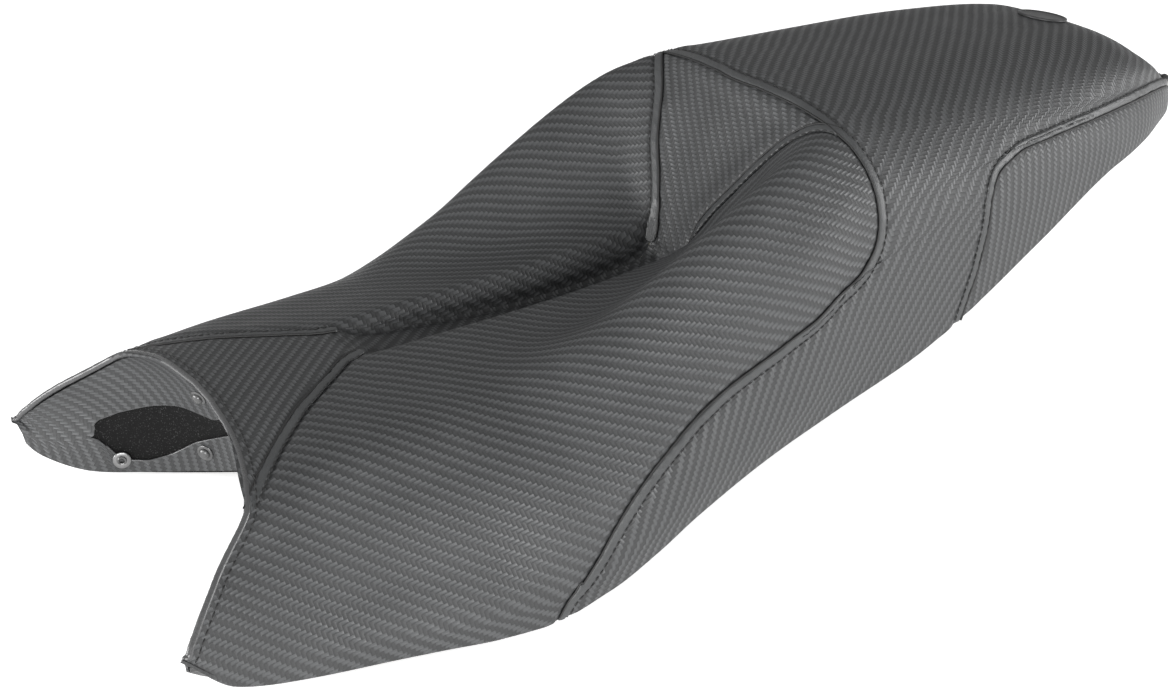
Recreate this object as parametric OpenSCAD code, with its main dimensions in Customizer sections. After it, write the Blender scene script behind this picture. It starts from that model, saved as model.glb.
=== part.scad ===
// One-piece sport motorcycle seat: moulded pan, foam, gel pads, sewn cover and mounting hardware.
// The nose points to -Y, the tail to +Y, and the middle of the seat is the plane x = 0.

/* [Overall size] */
// Length from the horn tips to the tail
seat_l = 722; // [680:1:760]
// Width across the widest part of the flanks
seat_w = 296; // [280:1:310]
// Height from the lowest edge of the skirt to the top of the passenger pad
seat_h = 209; // [195:1:220]

/* [Cover and padding] */
// Thickness of the vinyl cover
vinyl_t = 1.2; // [1:0.1:1.6]
// Gap left between neighbouring layers
layer_gap = 0.4; // [0.2:0.1:0.8]
// Wall thickness of the moulded pan
pan_t = 2.8; // [2.4:0.2:3.2]
// Half the width of the channel down the middle of the rider's area
channel_r = 16; // [14:1:18]
// Thickness of the gel pads under the cover
gel_t = 9; // [6:1:10]
// Radius of the rolled hem along the edge of the front arch
hem_r = 1.8; // [1.4:0.1:2.2]

/* [Hardware] */
// Radius of the striker bar that the latch grips
striker_r = 4; // [3:0.5:5]
// Clear length of the striker bar between its legs
striker_l = 30; // [26:1:40]
// Shank radius of the hardware screws
screw_r = 2.5; // [2:0.5:3]
// Radius of the rubber bumpers
bumper_r = 11; // [9:1:13]
// Radius of the cover rivets' heads
rivet_r = 3.2; // [2.5:0.1:4]
// Outer radius of the washers under the rivets
washer_r = 6.5; // [6:0.5:8]

/* [Hidden] */

// The tables below are laid out at this nominal size and scaled to the driving dimensions
nominal_l = 722;
nominal_w = 296;
nominal_h = 209;
scale_x = seat_w / nominal_w;
scale_y = seat_l / nominal_l;
scale_z = seat_h / nominal_h;

// Guide lines of the left half of the skin, from the middle (0) to the lower edge (7).
// Each row is [y from the horn tips, x, z from the lowest edge].
MIDDLE = [[0, 0, 84], [66, 0, 96], [100, 0, 100], [146, 0, 103], [200, 0, 106], [260, 0, 108],
          [300, 0, 110], [330, 0, 113], [343, 0, 117], [354, 0, 136], [366, 0, 161],
          [379, 0, 189], [389, 0, 204], [400, 0, 207], [440, 0, 209], [520, 0, 209],
          [580, 0, 207], [621, 0, 203], [650, 0, 194], [680, 0, 179], [705, 0, 164],
          [713, 0, 159.5], [719, 0, 155], [722, 0, 151]];
BOLSTER = [[0, 20, 83], [66, 18, 95.5], [100, 18, 99.5], [146, 18, 103], [200, 18, 106],
           [260, 18, 109], [300, 18, 112], [330, 18, 116], [343, 18, 120], [354, 18, 138],
           [366, 18, 161], [379, 18, 188], [389, 18, 203.5], [400, 18, 207], [440, 18, 208.5],
           [520, 18, 208.5], [580, 18, 206.5], [621, 18, 202.5], [650, 17, 193.5],
           [680, 13, 178.5], [705, 9, 163.5], [713, 7, 159],
           [719, 4.5, 154.5], [722, 0.2, 150.5]];
SADDLE = [[0, 62, 80], [60, 60, 91], [100, 55, 97], [146, 55, 99], [200, 55, 103],
          [250, 55, 109], [300, 55, 124], [343, 55, 146], [366, 52, 170], [380, 50, 188],
          [391, 50, 202], [402, 52, 205], [440, 52, 206], [520, 52, 206], [580, 50, 204],
          [621, 47, 200], [650, 40, 190], [680, 30, 175], [705, 20, 161],
          [713, 15, 157.5], [719, 9, 153.5], [722, 0.3, 150]];
CREST = [[0, 100, 70], [50, 95, 78], [75, 91, 84], [100, 89, 88], [150, 88, 92], [185, 88, 95],
         [210, 89, 103], [230, 90, 112], [250, 91, 122], [272, 92, 136], [295, 93, 150],
         [320, 93, 165], [348, 92, 180], [370, 89, 189], [395, 85, 194], [430, 86, 191],
         [504, 86, 190], [580, 80, 189], [621, 72, 187], [650, 62, 181], [680, 46, 169],
         [705, 31, 157], [713, 22, 155], [719, 13, 151.5], [722, 0.4, 148.5]];
SHOULDER = [[0, 118, 60], [24, 116, 58], [50, 110, 62], [100, 107, 70], [150, 111, 74],
            [200, 116, 82], [250, 119, 98], [300, 120, 122], [348, 116, 150], [390, 106, 172],
            [430, 103, 172], [490, 101, 170], [553, 94, 172], [600, 84, 173], [635, 73, 172],
            [668, 57, 168], [690, 44, 163], [710, 25, 156],
            [718, 19, 152.5], [721, 10, 149.5], [722, 0.5, 147.5]];
FLANK = [[0, 127, 48], [24, 128, 40], [50, 126, 38], [100, 127, 40], [150, 134, 40],
         [200, 141, 48], [250, 141, 66], [300, 134, 82], [348, 128, 106], [390, 119, 130],
         [430, 114, 138], [490, 109, 140], [553, 100, 152], [600, 90, 158], [635, 78, 158],
         [668, 61, 156], [690, 47, 154], [710, 27, 151], [718, 20, 149],
         [721, 11, 147], [722, 0.5, 146]];
SKIRT = [[0, 131, 40], [22, 135, 24], [50, 135, 19], [100, 139, 16], [150, 146, 13],
         [200, 149, 16], [250, 145, 34], [300, 137, 52], [348, 131, 70], [390, 124, 85],
         [430, 118, 98], [490, 110, 108], [553, 100, 130], [600, 91, 146], [635, 79, 149],
         [668, 62, 150], [690, 48, 149], [710, 28, 148],
         [718, 21, 146.5], [721, 11, 145.3], [722, 0.5, 145]];
LOWER_EDGE = [[0, 132, 36], [22, 136, 17], [55, 137, 9], [90, 139, 5], [122, 143, 3],
              [152, 147, 1], [176, 148, 0], [214, 146, 6], [245, 142, 16], [270, 139, 27],
              [320, 131, 42], [370, 125, 54], [431, 118, 68], [465, 113, 79], [530, 103, 107],
              [605, 89, 137], [640, 76, 141], [665, 63, 143], [690, 48, 144], [710, 28, 144],
              [718, 21, 144], [721, 11, 144], [722, 0.5, 144]];
GUIDES = [MIDDLE, BOLSTER, SADDLE, CREST, SHOULDER, FLANK, SKIRT, LOWER_EDGE];
EDGE_W = 7;

// Depth of the channel at stations along y
CHANNEL_DEPTH = [[146, 0], [170, 4], [210, 9], [260, 12], [310, 11], [335, 7], [352, 0]];

// Seams and edges as [y, guide number] points on the skin
ARCH_EDGE = [[66, 0], [65.5, 1], [61, 2], [50, 3], [24, 4], [10, 5], [4, 6], [0, 7]];
NOSE_SEAM = [[50, 3], [66, 2.55], [92, 1.95], [120, 1.35], [146, 0.85]];
CHANNEL_SEAM = [[146, 0.85], [200, 0.85], [260, 0.85], [310, 0.85], [343, 0.9]];
BUMSTOP_SEAM = [[343, 0.9], [352, 1.2], [362, 1.7], [375, 2.2], [388, 2.75], [395, 3]];
RIDGE_SEAM = [[389, 0], [390, 1], [392, 2], [395, 3]];
FLANK_SEAM = [[395, 3], [397.5, 3.2], [400, 3.45], [402, 3.7], [403.2, 3.95], [404, 4.3],
              [403, 4.6], [400, 4.8], [390, 5.02], [365, 5], [328, 4.85], [296, 4.75],
              [270, 4.8], [240, 5.1], [212, 5.6], [193, 6.2], [185, 7]];
TAIL_END = 721.85;
TAIL_SEAM = [[TAIL_END, 4], [705, 4], [680, 4], [640, 4], [590, 4], [540, 4], [505, 4.1],
             [488, 4.4], [482.5, 4.8], [480.5, 5.15], [477.5, 5.5], [475, 5.8], [472.5, 6.05],
             [470, 6.3], [468, 6.5], [465.5, 6.75], [463, 7]];

// Lower lip of the front arch, from the middle to a horn tip, as points in space
ARCH_LIP = [[0, 112, 25], [30, 110, 21], [58, 101, 9], [83, 83, 2], [98, 61, 1.5],
            [108, 33, 6], [118, 12, 17], [127, 3, 28]];

// Underside of the padding along the middle, as [y, z]
ROOF = [[92, 80], [105, 74], [120, 68], [150, 63], [200, 61], [260, 64], [300, 70], [343, 82],
        [366, 100], [389, 124], [420, 142], [470, 152], [560, 157], [640, 157], [690, 152],
        [712, 148]];
roof_start = 92;

vinyl_colour = [0.17, 0.175, 0.18];
pan_colour = [0.05, 0.05, 0.055];
steel_colour = [0.62, 0.63, 0.65];
rubber_colour = [0.09, 0.09, 0.09];
foam_colour = [0.83, 0.79, 0.62];
gel_colour = [0.35, 0.5, 0.62];

// ---- curves ----

function chord(t, i, c) = (t[i + 1][c] - t[i][c]) / (t[i + 1][0] - t[i][0]);

// Slope at a table's row, limited so that the curve never overshoots its points
function slope(t, i, c) =
    i == 0 ? chord(t, 0, c)
    : i == len(t) - 1 ? chord(t, i - 1, c)
    : let (a = chord(t, i - 1, c), b = chord(t, i, c),
           g = t[i][0] - t[i - 1][0], h = t[i + 1][0] - t[i][0])
      a * b <= 0 ? 0 : 3 * (g + h) / ((2 * h + g) / a + (h + 2 * g) / b);

function cubic(a, b, ma, mb, s) =
    a * (1 + 2 * s) * pow(1 - s, 2) + ma * s * pow(1 - s, 2)
    + b * s * s * (3 - 2 * s) + mb * s * s * (s - 1);

function row_below(t, y) = max(0, min(len(t) - 2, len([for (r = t) if (r[0] <= y) 1]) - 1));

// Smooth value of a table's column c at y
function smooth(t, y, c) =
    let (i = row_below(t, y), h = t[i + 1][0] - t[i][0],
         s = max(0, min(1, (y - t[i][0]) / h)))
    cubic(t[i][c], t[i + 1][c], slope(t, i, c) * h, slope(t, i + 1, c) * h, s);

function guide(k, y) =
    k < 0 ? [-smooth(BOLSTER, y, 1), smooth(BOLSTER, y, 2)]
    : k > EDGE_W ? 2 * guide(EDGE_W, y) - guide(EDGE_W - 1, y)
    : [smooth(GUIDES[k], y, 1), smooth(GUIDES[k], y, 2)];

function tangent(a, b, c) =
    let (g = norm(b - a) + 0.001, h = norm(c - b) + 0.001)
    ((b - a) / g * h + (c - b) / h * g) / (g + h);

function ease(s) = let (q = max(0, min(1, s))) q * q * (3 - 2 * q);

function channel_drop(x, y) =
    lookup(y, CHANNEL_DEPTH) * (1 - ease((abs(x) - channel_r) / 9));

// Point of the skin at station y; w is the guide number, negative on the right half
function skin(y, w) =
    let (i = min(EDGE_W - 1, floor(abs(w))), f = abs(w) - i,
         a = guide(i - 1, y), b = guide(i, y), c = guide(i + 1, y), d = guide(i + 2, y),
         span = norm(c - b),
         q = cubic(b, c, tangent(a, b, c) * span, tangent(b, c, d) * span, f),
         side = w < 0 ? -1 : 1)
    [side * q[0] * scale_x, y * scale_y,
     (q[1] - (y > 146 && y < 352 ? channel_drop(q[0], y) : 0)) * scale_z];

function unit(v) = v / max(0.0001, norm(v));

// Outward normal of the skin
function skin_normal(y, w) =
    let (e = 0.04, wa = max(-EDGE_W, w - e), wb = min(EDGE_W, w + e))
    unit(cross(skin(y, wb) - skin(y, wa), skin(y + 1, w) - skin(y - 1, w)));

// Point at depth d under the skin
function under_skin(y, w, d) = skin(y, w) - d * skin_normal(y, w);

// Point of an open polyline at fraction s of its rows
function along(p, s) =
    let (t = max(0, min(1, s)) * (len(p) - 1), i = min(len(p) - 2, floor(t)))
    p[i] + (p[i + 1] - p[i]) * (t - i);

function mix(a, b, s) = a + (b - a) * s;

function backwards(list) = [for (i = [len(list) - 1:-1:0]) list[i]];

// Fraction of the arch edge's rows at station y
function arch_w(y) = y >= ARCH_EDGE[0][0] ? 0
    : let (i = [for (k = [0:len(ARCH_EDGE) - 2]) if (y >= ARCH_EDGE[k + 1][0]) k][0])
      ARCH_EDGE[i][1] + (ARCH_EDGE[i][0] - y) / (ARCH_EDGE[i][0] - ARCH_EDGE[i + 1][0]);

// ---- solids from grids of points ----

// Closed sheet between two grids of the same size, outer first, each cell cut along the
// shorter diagonal of its outer face
module sheet(outer, inner) {
    m = len(outer);
    n = len(outer[0]);
    points = [for (r = outer) each r, for (r = inner) each r];
    low = m * n;
    faces = [
        for (i = [0:m - 2], j = [0:n - 2])
            let (a = i * n + j, b = a + 1, c = a + n, d = c + 1,
                 cut = norm(points[a] - points[d]) < norm(points[b] - points[c]))
            each (cut
                ? [[a, d, b], [a, c, d], [low + a, low + b, low + d], [low + a, low + d, low + c]]
                : [[a, c, b], [b, c, d], [low + a, low + b, low + c], [low + b, low + d, low + c]]),
        for (i = [0:m - 2]) let (a = i * n, c = a + n, b = a + n - 1, d = b + n)
            each [[a, low + c, c], [a, low + a, low + c], [b, d, low + d], [b, low + d, low + b]],
        for (j = [0:n - 2]) let (a = j, c = (m - 1) * n + j)
            each [[a, a + 1, low + a + 1], [a, low + a + 1, low + a],
                  [c, low + c + 1, c + 1], [c, low + c, low + c + 1]]];
    polyhedron(points, faces, convexity = 8);
}

// Solid through closed rings of the same number of points
module loft(rings) {
    n = len(rings[0]);
    m = len(rings);
    faces = [
        for (i = [0:m - 2], j = [0:n - 1])
            let (a = i * n + j, b = i * n + (j + 1) % n, c = a + n, d = b + n)
            each [[a, b, d], [a, d, c]],
        [for (j = [n - 1:-1:0]) j],
        [for (j = [0:n - 1]) (m - 1) * n + j]];
    polyhedron([for (r = rings) each r], faces, convexity = 8);
}

module place() {
    translate([0, -seat_l / 2, 0]) children();
}

// Patch of the cover between two opposite edges, each a function of one fraction
module cover_patch(grid) {
    color(vinyl_colour) place() sheet(
        [for (r = grid) [for (p = r) skin(p[0], p[1])]],
        [for (r = grid) [for (p = r) under_skin(p[0], p[1], vinyl_t)]]);
}

// Fractions of a patch stop just short of its seams
function steps(n) = [for (i = [0:n]) 0.004 + 0.992 * i / n];

// The same, but reaching the lower edge of the skin
function steps_to_edge(n) = [for (i = [0:n]) 0.004 + 0.996 * i / n];

// ---- cover ----

// Nose patch: from the arch edge back to the channel, between the nose seams
module cover_nose() {
    rows = 8;
    cols = 9;
    cover_patch([for (s = steps(rows)) [for (c = [-cols:cols])
        let (f = abs(c) / cols * 0.992, a = along(ARCH_EDGE, f * 3 / 7),
             seam = along(NOSE_SEAM, s), k = f * seam[1],
             front = a[0], back = mix(146, seam[0], f), y = mix(front, back, s))
        [mix(y, seam[0], pow(f, 3)), (c < 0 ? -1 : 1) * k]]]);
}

// The inner edge of a side patch runs up the nose seam, the channel and the bum stop
SIDE_INNER = concat(NOSE_SEAM, [for (i = [1:4]) CHANNEL_SEAM[i]],
                    [for (i = [1:5]) BUMSTOP_SEAM[i]]);
SIDE_OUTER = [[0, 7], [185, 7]];
ARCH_SIDE = [for (i = [3:7]) ARCH_EDGE[i]];

// Blend of the four edges of a patch: s runs from front to rear, u from inner to outer
function blended(inner, outer, front, rear, s, u) =
    mix(along(inner, s), along(outer, s), u) + mix(along(front, u), along(rear, u), s)
    - mix(mix(inner[0], outer[0], u), mix(inner[len(inner) - 1], outer[len(outer) - 1], u), s);

function side_grid(rows, cols) = [for (s = steps(rows)) [for (u = steps_to_edge(cols))
    blended(SIDE_INNER, SIDE_OUTER, ARCH_SIDE, FLANK_SEAM, s, u)]];

module cover_side_left() cover_patch(side_grid(26, 32));
module cover_side_right() mirror([1, 0, 0]) cover_side_left();

module cover_channel() {
    cover_patch([for (s = steps(16)) [for (w = [-2:2])
        let (seam = along(CHANNEL_SEAM, s)) [seam[0], w / 2 * 0.97 * seam[1]]]]);
}

module cover_bumstop() {
    cols = 6;
    cover_patch([for (s = steps(10)) [for (c = [-cols:cols])
        let (seam = along(BUMSTOP_SEAM, s), f = c / cols * 0.985,
             ridge = along(RIDGE_SEAM, abs(f)))
        [mix(mix(343, ridge[0], s), seam[0], pow(f, 4)), f * seam[1]]]]);
}

// Point of the passenger patch: s runs from the ridge and flank seams to the tail, u outwards
function passenger_point(s, u) =
    let (split = 3 / 11, top = u < split,
         front = top ? along(RIDGE_SEAM, u / split) : along(FLANK_SEAM, (u - split) / (1 - split)),
         rear = top ? [TAIL_END, 4 * u / split] : along(TAIL_SEAM, (u - split) / (1 - split)))
    mix(front, rear, s);

module cover_passenger() {
    cols = 22;
    cover_patch([for (s = steps_to_edge(20)) [for (c = [-cols:cols])
        let (p = passenger_point(s, abs(c) / cols)) [p[0], (c < 0 ? -1 : 1) * p[1]]]]);
}

TAIL_TOP = [for (i = [7:-1:0]) TAIL_SEAM[i]];
TAIL_FRONT = [for (i = [7:16]) TAIL_SEAM[i]];
module cover_tail_left() {
    cover_patch([for (s = steps_to_edge(14)) [for (u = steps_to_edge(9))
        blended(TAIL_TOP, [[463, 7], [TAIL_END, 7]], TAIL_FRONT, [[TAIL_END, 4], [TAIL_END, 7]],
                s, u)]]);
}
module cover_tail_right() mirror([1, 0, 0]) cover_tail_left();

// ---- front arch ----

// Point of the arch's inner face: a runs from tip to tip, b from the hem down to the lip
function arch_face(a, b) =
    let (f = abs(a), side = a < 0 ? -1 : 1, e = along(ARCH_EDGE, f),
         top = skin(e[0], e[1]) - [0, 0, 1.5],
         p = along(ARCH_LIP, f),
         lip = [p[0] * scale_x, p[1] * scale_y, p[2] * scale_z],
         bulge = [mix(top[0], lip[0], 0.9), mix(top[1], lip[1], 0.82), mix(top[2], lip[2], 0.2)],
         q = top * pow(1 - b, 2) + bulge * 2 * b * (1 - b) + lip * b * b)
    [side * q[0], q[1], q[2]];

// Point at depth d behind the arch's inner face
function arch_layer(a, b, d) =
    let (e = 0.02, b0 = max(0, b - e), b1 = min(1, b + e),
         n = unit(cross(arch_face(min(1, a + e), b) - arch_face(max(-1, a - e), b),
                        arch_face(a, b1) - arch_face(a, b0))))
    arch_face(a, b) + d * n;

function arch_grid(a0, a1, b0, b1, rows, cols, d) =
    [for (i = [0:rows]) [for (j = [0:cols])
        arch_layer(mix(a0, a1, j / cols), mix(b0, b1, i / rows), d)]];

module arch_sheet(a0, a1, b0, b1, rows, cols, d0, d1) {
    place() sheet(arch_grid(a0, a1, b0, b1, rows, cols, d1),
                  arch_grid(a0, a1, b0, b1, rows, cols, d0));
}

// Wall of the pan that stands around the arch
module arch_wall() {
    color(pan_colour) arch_sheet(-0.9, 0.9, 0.04, 1, 8, 34, 0, pan_t);
}

// Cover turned in over the arch wall
module arch_liner() {
    color(vinyl_colour) arch_sheet(-0.93, 0.93, 0.04, 0.42, 5, 34, -vinyl_t - layer_gap, -layer_gap);
}

// Ring of a round bead at fraction f of the arch edge, on the left (1) or right (-1) half
function hem_ring(f, side) =
    let (e = along(ARCH_EDGE, f), q = along(ARCH_EDGE, min(1, f + 0.02)),
         r = along(ARCH_EDGE, max(0, f - 0.02)),
         run = unit(skin(q[0], q[1]) - skin(r[0], r[1])),
         up = skin_normal(max(4, e[0]), e[1]), out = unit(cross(run, up)), over = cross(out, run),
         centre = skin(e[0], e[1]) - up * hem_r)
    [for (t = [0:45:315]) let (p = centre + hem_r * (cos(t) * over + sin(t) * out))
        [side * p[0], p[1], p[2]]];

// Rolled and sewn hem that finishes the edge of the arch, from horn tip to horn tip
module arch_hem() {
    n = 24;
    color(vinyl_colour) place() loft(concat(
        [for (i = [n:-1:0]) hem_ring(0.985 * i / n, 1)],
        [for (i = [1:n]) hem_ring(0.985 * i / n, -1)]));
}

// Closing strip under a horn, between the lower edge of the flank and the arch lip
module horn_floor_left() {
    rows = 12;
    strip = [for (i = [0:rows]) let (f = mix(0.42, 0.97, 1 - i / rows), p = along(ARCH_LIP, f),
        e = skin(max(2, p[1]), 7)) [e - [1.6, 0, -1.8],
        [p[0] * scale_x, p[1] * scale_y, p[2] * scale_z] + [1.2, 0, 0]]];
    color(pan_colour) place() sheet(
        strip, [for (r = strip) [r[0] + [0, 0, 2.2], r[1] + [0, 0, 2.2]]]);
}
module horn_floor_right() mirror([1, 0, 0]) horn_floor_left();

// ---- pan and padding ----

// Half section of the pan's outer face at station y, from the lower edge to the middle
function pan_half(y, d) =
    let (r = lookup(y, ROOF) * scale_z, e = skin(y, 7), k = skin(y, 6), f = skin(y, 5),
         t = skin(y, 4))
    [[e[0] - 1.8 - d, e[2] + 0.6], [k[0] - 6 - d, max(e[2] + 2, min(k[2], r - 5))],
     [f[0] - 9 - d, max(e[2] + 3, min(f[2], r - 4))],
     [t[0] - 11 - d, max(e[2] + 4, min(t[2] - 8, r - 2.5) - d * 0.6)],
     [(t[0] - 11) * 0.8 - d * 0.5, r - d], [(t[0] - 11) * 0.4, r + 1 - d], [0, r + 1.5 - d]];

function mirrored(half) = concat(half, [for (i = [len(half) - 2:-1:0]) [-half[i][0], half[i][1]]]);
function at_station(section, y) = [for (p = section) [p[0], y * scale_y, p[1]]];

PAN_STATIONS = [92, 100, 110, 122, 136, 152, 170, 190, 215, 240, 265, 290, 315, 335, 350, 366,
                380, 395, 415, 440, 470, 500, 530, 560, 590, 615, 635, 655, 672, 688, 704];

// Section of the pan's face at depth d, and the lower rim of its rear wall
function pan_row(y, d) = at_station(mirrored(pan_half(y, d)), y);
function pan_rim(y, d) = [for (p = pan_row(y, d)) [p[0], p[1], skin(y, 7)[2] + 0.2]];

// Moulded pan: an inverted tray with a rear wall
module seat_pan() {
    last = PAN_STATIONS[len(PAN_STATIONS) - 1];
    color(pan_colour) place() sheet(
        [for (y = PAN_STATIONS) backwards(pan_row(y, 0)), backwards(pan_rim(last, 0))],
        [for (y = PAN_STATIONS) backwards(pan_row(min(y, last - pan_t), pan_t)),
         backwards(pan_rim(last - pan_t, pan_t))]);
}

// Cross rib hanging from the roof
module rib(y, h) {
    r = lookup(y, ROOF) * scale_z;
    w = skin(y, 7)[0] * 0.62;
    translate([-w, y * scale_y - 1.2, r - pan_t - h]) cube([2 * w, 2.4, h + 1.5]);
}

module long_rib(s) {
    for (part = [[180, 320], [430, 610]]) {
        h = 5;
        a = lookup(part[0], ROOF) * scale_z - pan_t;
        b = lookup(part[1], ROOF) * scale_z - pan_t;
        translate([s * 42 - 1.2, 0, 0]) rotate([90, 0, 90]) linear_extrude(2.4) polygon(
            [[part[0] * scale_y, a - h], [part[1] * scale_y, b - h],
             [part[1] * scale_y, b + 1], [part[0] * scale_y, a + 1]]);
    }
}

// Stiffening ribs welded under the pan's roof
module pan_ribs() {
    color(pan_colour) place() {
        for (y = [180, 250, 320]) rib(y, 7);
        for (y = [430, 520, 610]) rib(y, 6);
        for (s = [-1, 1]) long_rib(s);
    }
}

foam_top_depth = vinyl_t + layer_gap;

// Gel pads lie in pockets of the padding: [first y, last y] and [first w, last w]
GEL_Y = [176, 304];
GEL_W = [1.35, 3.3];
pocket_y = 2;
pocket_w = 0.04;

function in_pocket(y, w) = y > GEL_Y[0] - pocket_y / 2 && y < GEL_Y[1] + pocket_y / 2
    && w > GEL_W[0] - pocket_w / 2 && w < GEL_W[1] + pocket_w / 2;
function foam_depth(y, w) = foam_top_depth + (in_pocket(y, w) ? gel_t + layer_gap : 0);

// x of the padding's inner wall in a horn, and height of the vault over the arch
HORN_WALL = [[0, 131], [12, 123], [35, 115.5], [65, 110], [92, 107]];
VAULT = [[0, 30], [24, 52], [50, 73], [60, 87], [66, 92], [76, 92], [84, 90], [92, 85]];

// Half section under the padding beside and over the arch, from the arch edge outwards
function vault_half(y) =
    let (w0 = arch_w(y), a = skin(y, w0), e = skin(y, 7), wall = lookup(y, HORN_WALL) * scale_x,
         top = (y < 66 ? a[2] - 5 * scale_z : lookup(y, VAULT) * scale_z),
         shelf = min(72 * scale_z, top - 2), floor_z = e[2] + 4.5,
         x0 = y < 66 ? a[0] + 1.5 : 0)
    [[x0, top], [mix(x0, wall, 0.4), mix(top, shelf, 0.15)],
     [mix(x0, wall, 0.8), mix(top, shelf, 0.6)],
     [wall, shelf - 6], [wall, mix(shelf, floor_z, 0.6)], [wall + 1, floor_z],
     [e[0] - 2.5, floor_z]];

function foam_half(y) = [for (p = backwards(pan_half(y, -layer_gap))) [p[0], p[1] + 1.5]];

// Point under the padding below the skin point at station y and guide w
function foam_under(y, w) =
    let (w0 = arch_w(y), q = (w - w0) / (EDGE_W - w0),
         p = along(y < roof_start ? vault_half(y) : foam_half(y), q))
    [p[0], y * scale_y, p[1]];

FOAM_W = [0, 0.5, 1, 1.31, 1.35, 2, 2.65, 3.3, 3.34, 3.8, 4.4, 5, 5.6, 6.3, 6.93];
FOAM_ROWS = [0, 12, 25, 40, 58, 78, 100, 125, 150, 173, 176, 208, 240, 272, 304, 307, 330, 343,
             352, 362, 372, 380, 389, 398, 415, 440, 470, 500, 530, 560, 590, 615, 635, 655, 672,
             688, 700];

// Station of a foam row on guide w: rows start behind the arch edge and soon run straight across
function foam_y(row, w) =
    let (f = 1 - along(backwards([for (e = ARCH_EDGE) e[0]]), 1 - w / EDGE_W) / ARCH_EDGE[0][0],
         front = 71 - f * 60)
    row < 173 ? mix(front, 173, row / 173) : row;

// Moulded foam for rider and passenger, with pockets for the gel pads
module foam_cushion() {
    top = [for (row = FOAM_ROWS) [for (i = [-14:14])
        let (w = FOAM_W[abs(i)], y = foam_y(row, w))
        under_skin(y, i < 0 ? -w : w, foam_depth(y, w))]];
    under = [for (row = FOAM_ROWS) [for (i = [-14:14])
        let (w = FOAM_W[abs(i)], p = foam_under(foam_y(row, w), w))
        [i < 0 ? -p[0] : p[0], p[1], p[2]]]];
    color(foam_colour) place() sheet(top, under);
}

// Gel pad in the pocket under each side of the rider's area
module gel_pad_left() {
    grid = [for (s = [0:8]) [for (u = [0:6])
        [mix(GEL_Y[0] + 1, GEL_Y[1] - 1, s / 8), mix(GEL_W[0] + 0.02, GEL_W[1] - 0.02, u / 6)]]];
    color(gel_colour) place() sheet(
        [for (r = grid) [for (p = r) under_skin(p[0], p[1], foam_top_depth)]],
        [for (r = grid) [for (p = r) under_skin(p[0], p[1], foam_top_depth + gel_t)]]);
}
module gel_pad_right() mirror([1, 0, 0]) gel_pad_left();

// ---- hardware ----

// Underside of the pan's roof at station y
function roof_under(y) = lookup(y, ROOF) * scale_z - pan_t;

tongue_y = 122;
tongue_z = roof_under(150) - 3;
tongue_t = 3;

// Hook plate that slides under the frame's front bracket
module tongue_bracket() {
    color(steel_colour) place() difference() {
        union() {
            translate([-25, tongue_y, tongue_z - tongue_t]) cube([50, 52, tongue_t]);
            translate([-17, 88, tongue_z - 16]) cube([34, 36, tongue_t]);
            translate([-17, tongue_y, tongue_z - 16]) cube([34, tongue_t, 16 - tongue_t + 1]);
        }
        for (s = [-1, 1]) translate([s * 14, 150, tongue_z - tongue_t - 1])
            cylinder(h = tongue_t + 2, r = screw_r + 0.3, $fn = 32);
    }
}

// Pan-head screw with its head down, shank up into the pan
module screw(h) {
    cylinder(h = h, r = screw_r, $fn = 32);
    translate([0, 0, -2.4]) cylinder(h = 2.4, r = screw_r * 1.9, $fn = 32);
}

module tongue_screws() {
    color(steel_colour) place() for (s = [-1, 1])
        translate([s * 14, 150, tongue_z - tongue_t]) screw(tongue_t + 2.6);
}

striker_y = 566;
striker_top = roof_under(566) - 13;
striker_t = 2.5;
striker_drop = 24;

module striker_plate() {
    color(steel_colour) place() difference() {
        translate([-34, striker_y - 22, striker_top - striker_t]) cube([68, 44, striker_t]);
        for (x = [-27, 27], y = [-15, 15])
            translate([x, striker_y + y, striker_top - striker_t - 1])
                cylinder(h = striker_t + 2, r = screw_r + 0.3, $fn = 32);
    }
}

// Round bar bent into a loop; the latch closes on its lower run
module striker_loop() {
    leg = striker_l / 2 + striker_r;
    color(steel_colour) place() translate([0, striker_y, striker_top - striker_t]) {
        for (s = [-1, 1]) translate([s * leg, 0, -striker_drop])
            cylinder(h = striker_drop, r = striker_r, $fn = 40);
        for (s = [-1, 1]) translate([s * leg, 0, -striker_drop]) sphere(r = striker_r, $fn = 40);
        translate([-leg, 0, -striker_drop]) rotate([0, 90, 0])
            cylinder(h = 2 * leg, r = striker_r, $fn = 40);
    }
}

module striker_screws() {
    color(steel_colour) place() for (x = [-27, 27], y = [-15, 15])
        translate([x, striker_y + y, striker_top - striker_t]) screw(striker_t + 12);
}

// Rubber bumper: a foot with a waist and a stem that snaps into the pan
module bumper(h) {
    translate([0, 0, -h]) cylinder(h = h - 3, r = bumper_r, $fn = 48);
    translate([0, 0, -3]) cylinder(h = 3, r = bumper_r * 0.75, $fn = 48);
    cylinder(h = 1.6, r = bumper_r * 0.35, $fn = 32);
}

module bumper_pair(x, y, h) {
    color(rubber_colour) place() for (s = [-1, 1])
        translate([s * x, y, roof_under(y) - 0.2]) bumper(h);
}
module bumpers_front() bumper_pair(62, 160, 18);
module bumpers_middle() bumper_pair(60, 360, 18);
module bumpers_rear() bumper_pair(52, 640, 10);

// Rivets that hold the cover to the arch wall: [a, b] places on its face
RIVETS = [[0.62, 0.88], [-0.62, 0.88], [0.4, 0.88], [-0.4, 0.88], [0.35, 0.55], [-0.35, 0.55]];

// Draws its children with +Z along the outward normal of the arch's face
module on_arch(a, b, d) {
    p = arch_layer(a, b, d);
    n = unit(arch_layer(a, b, d - 1) - p);
    place() translate(p) rotate([0, acos(n[2]), atan2(n[1], n[0])]) children();
}

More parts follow.
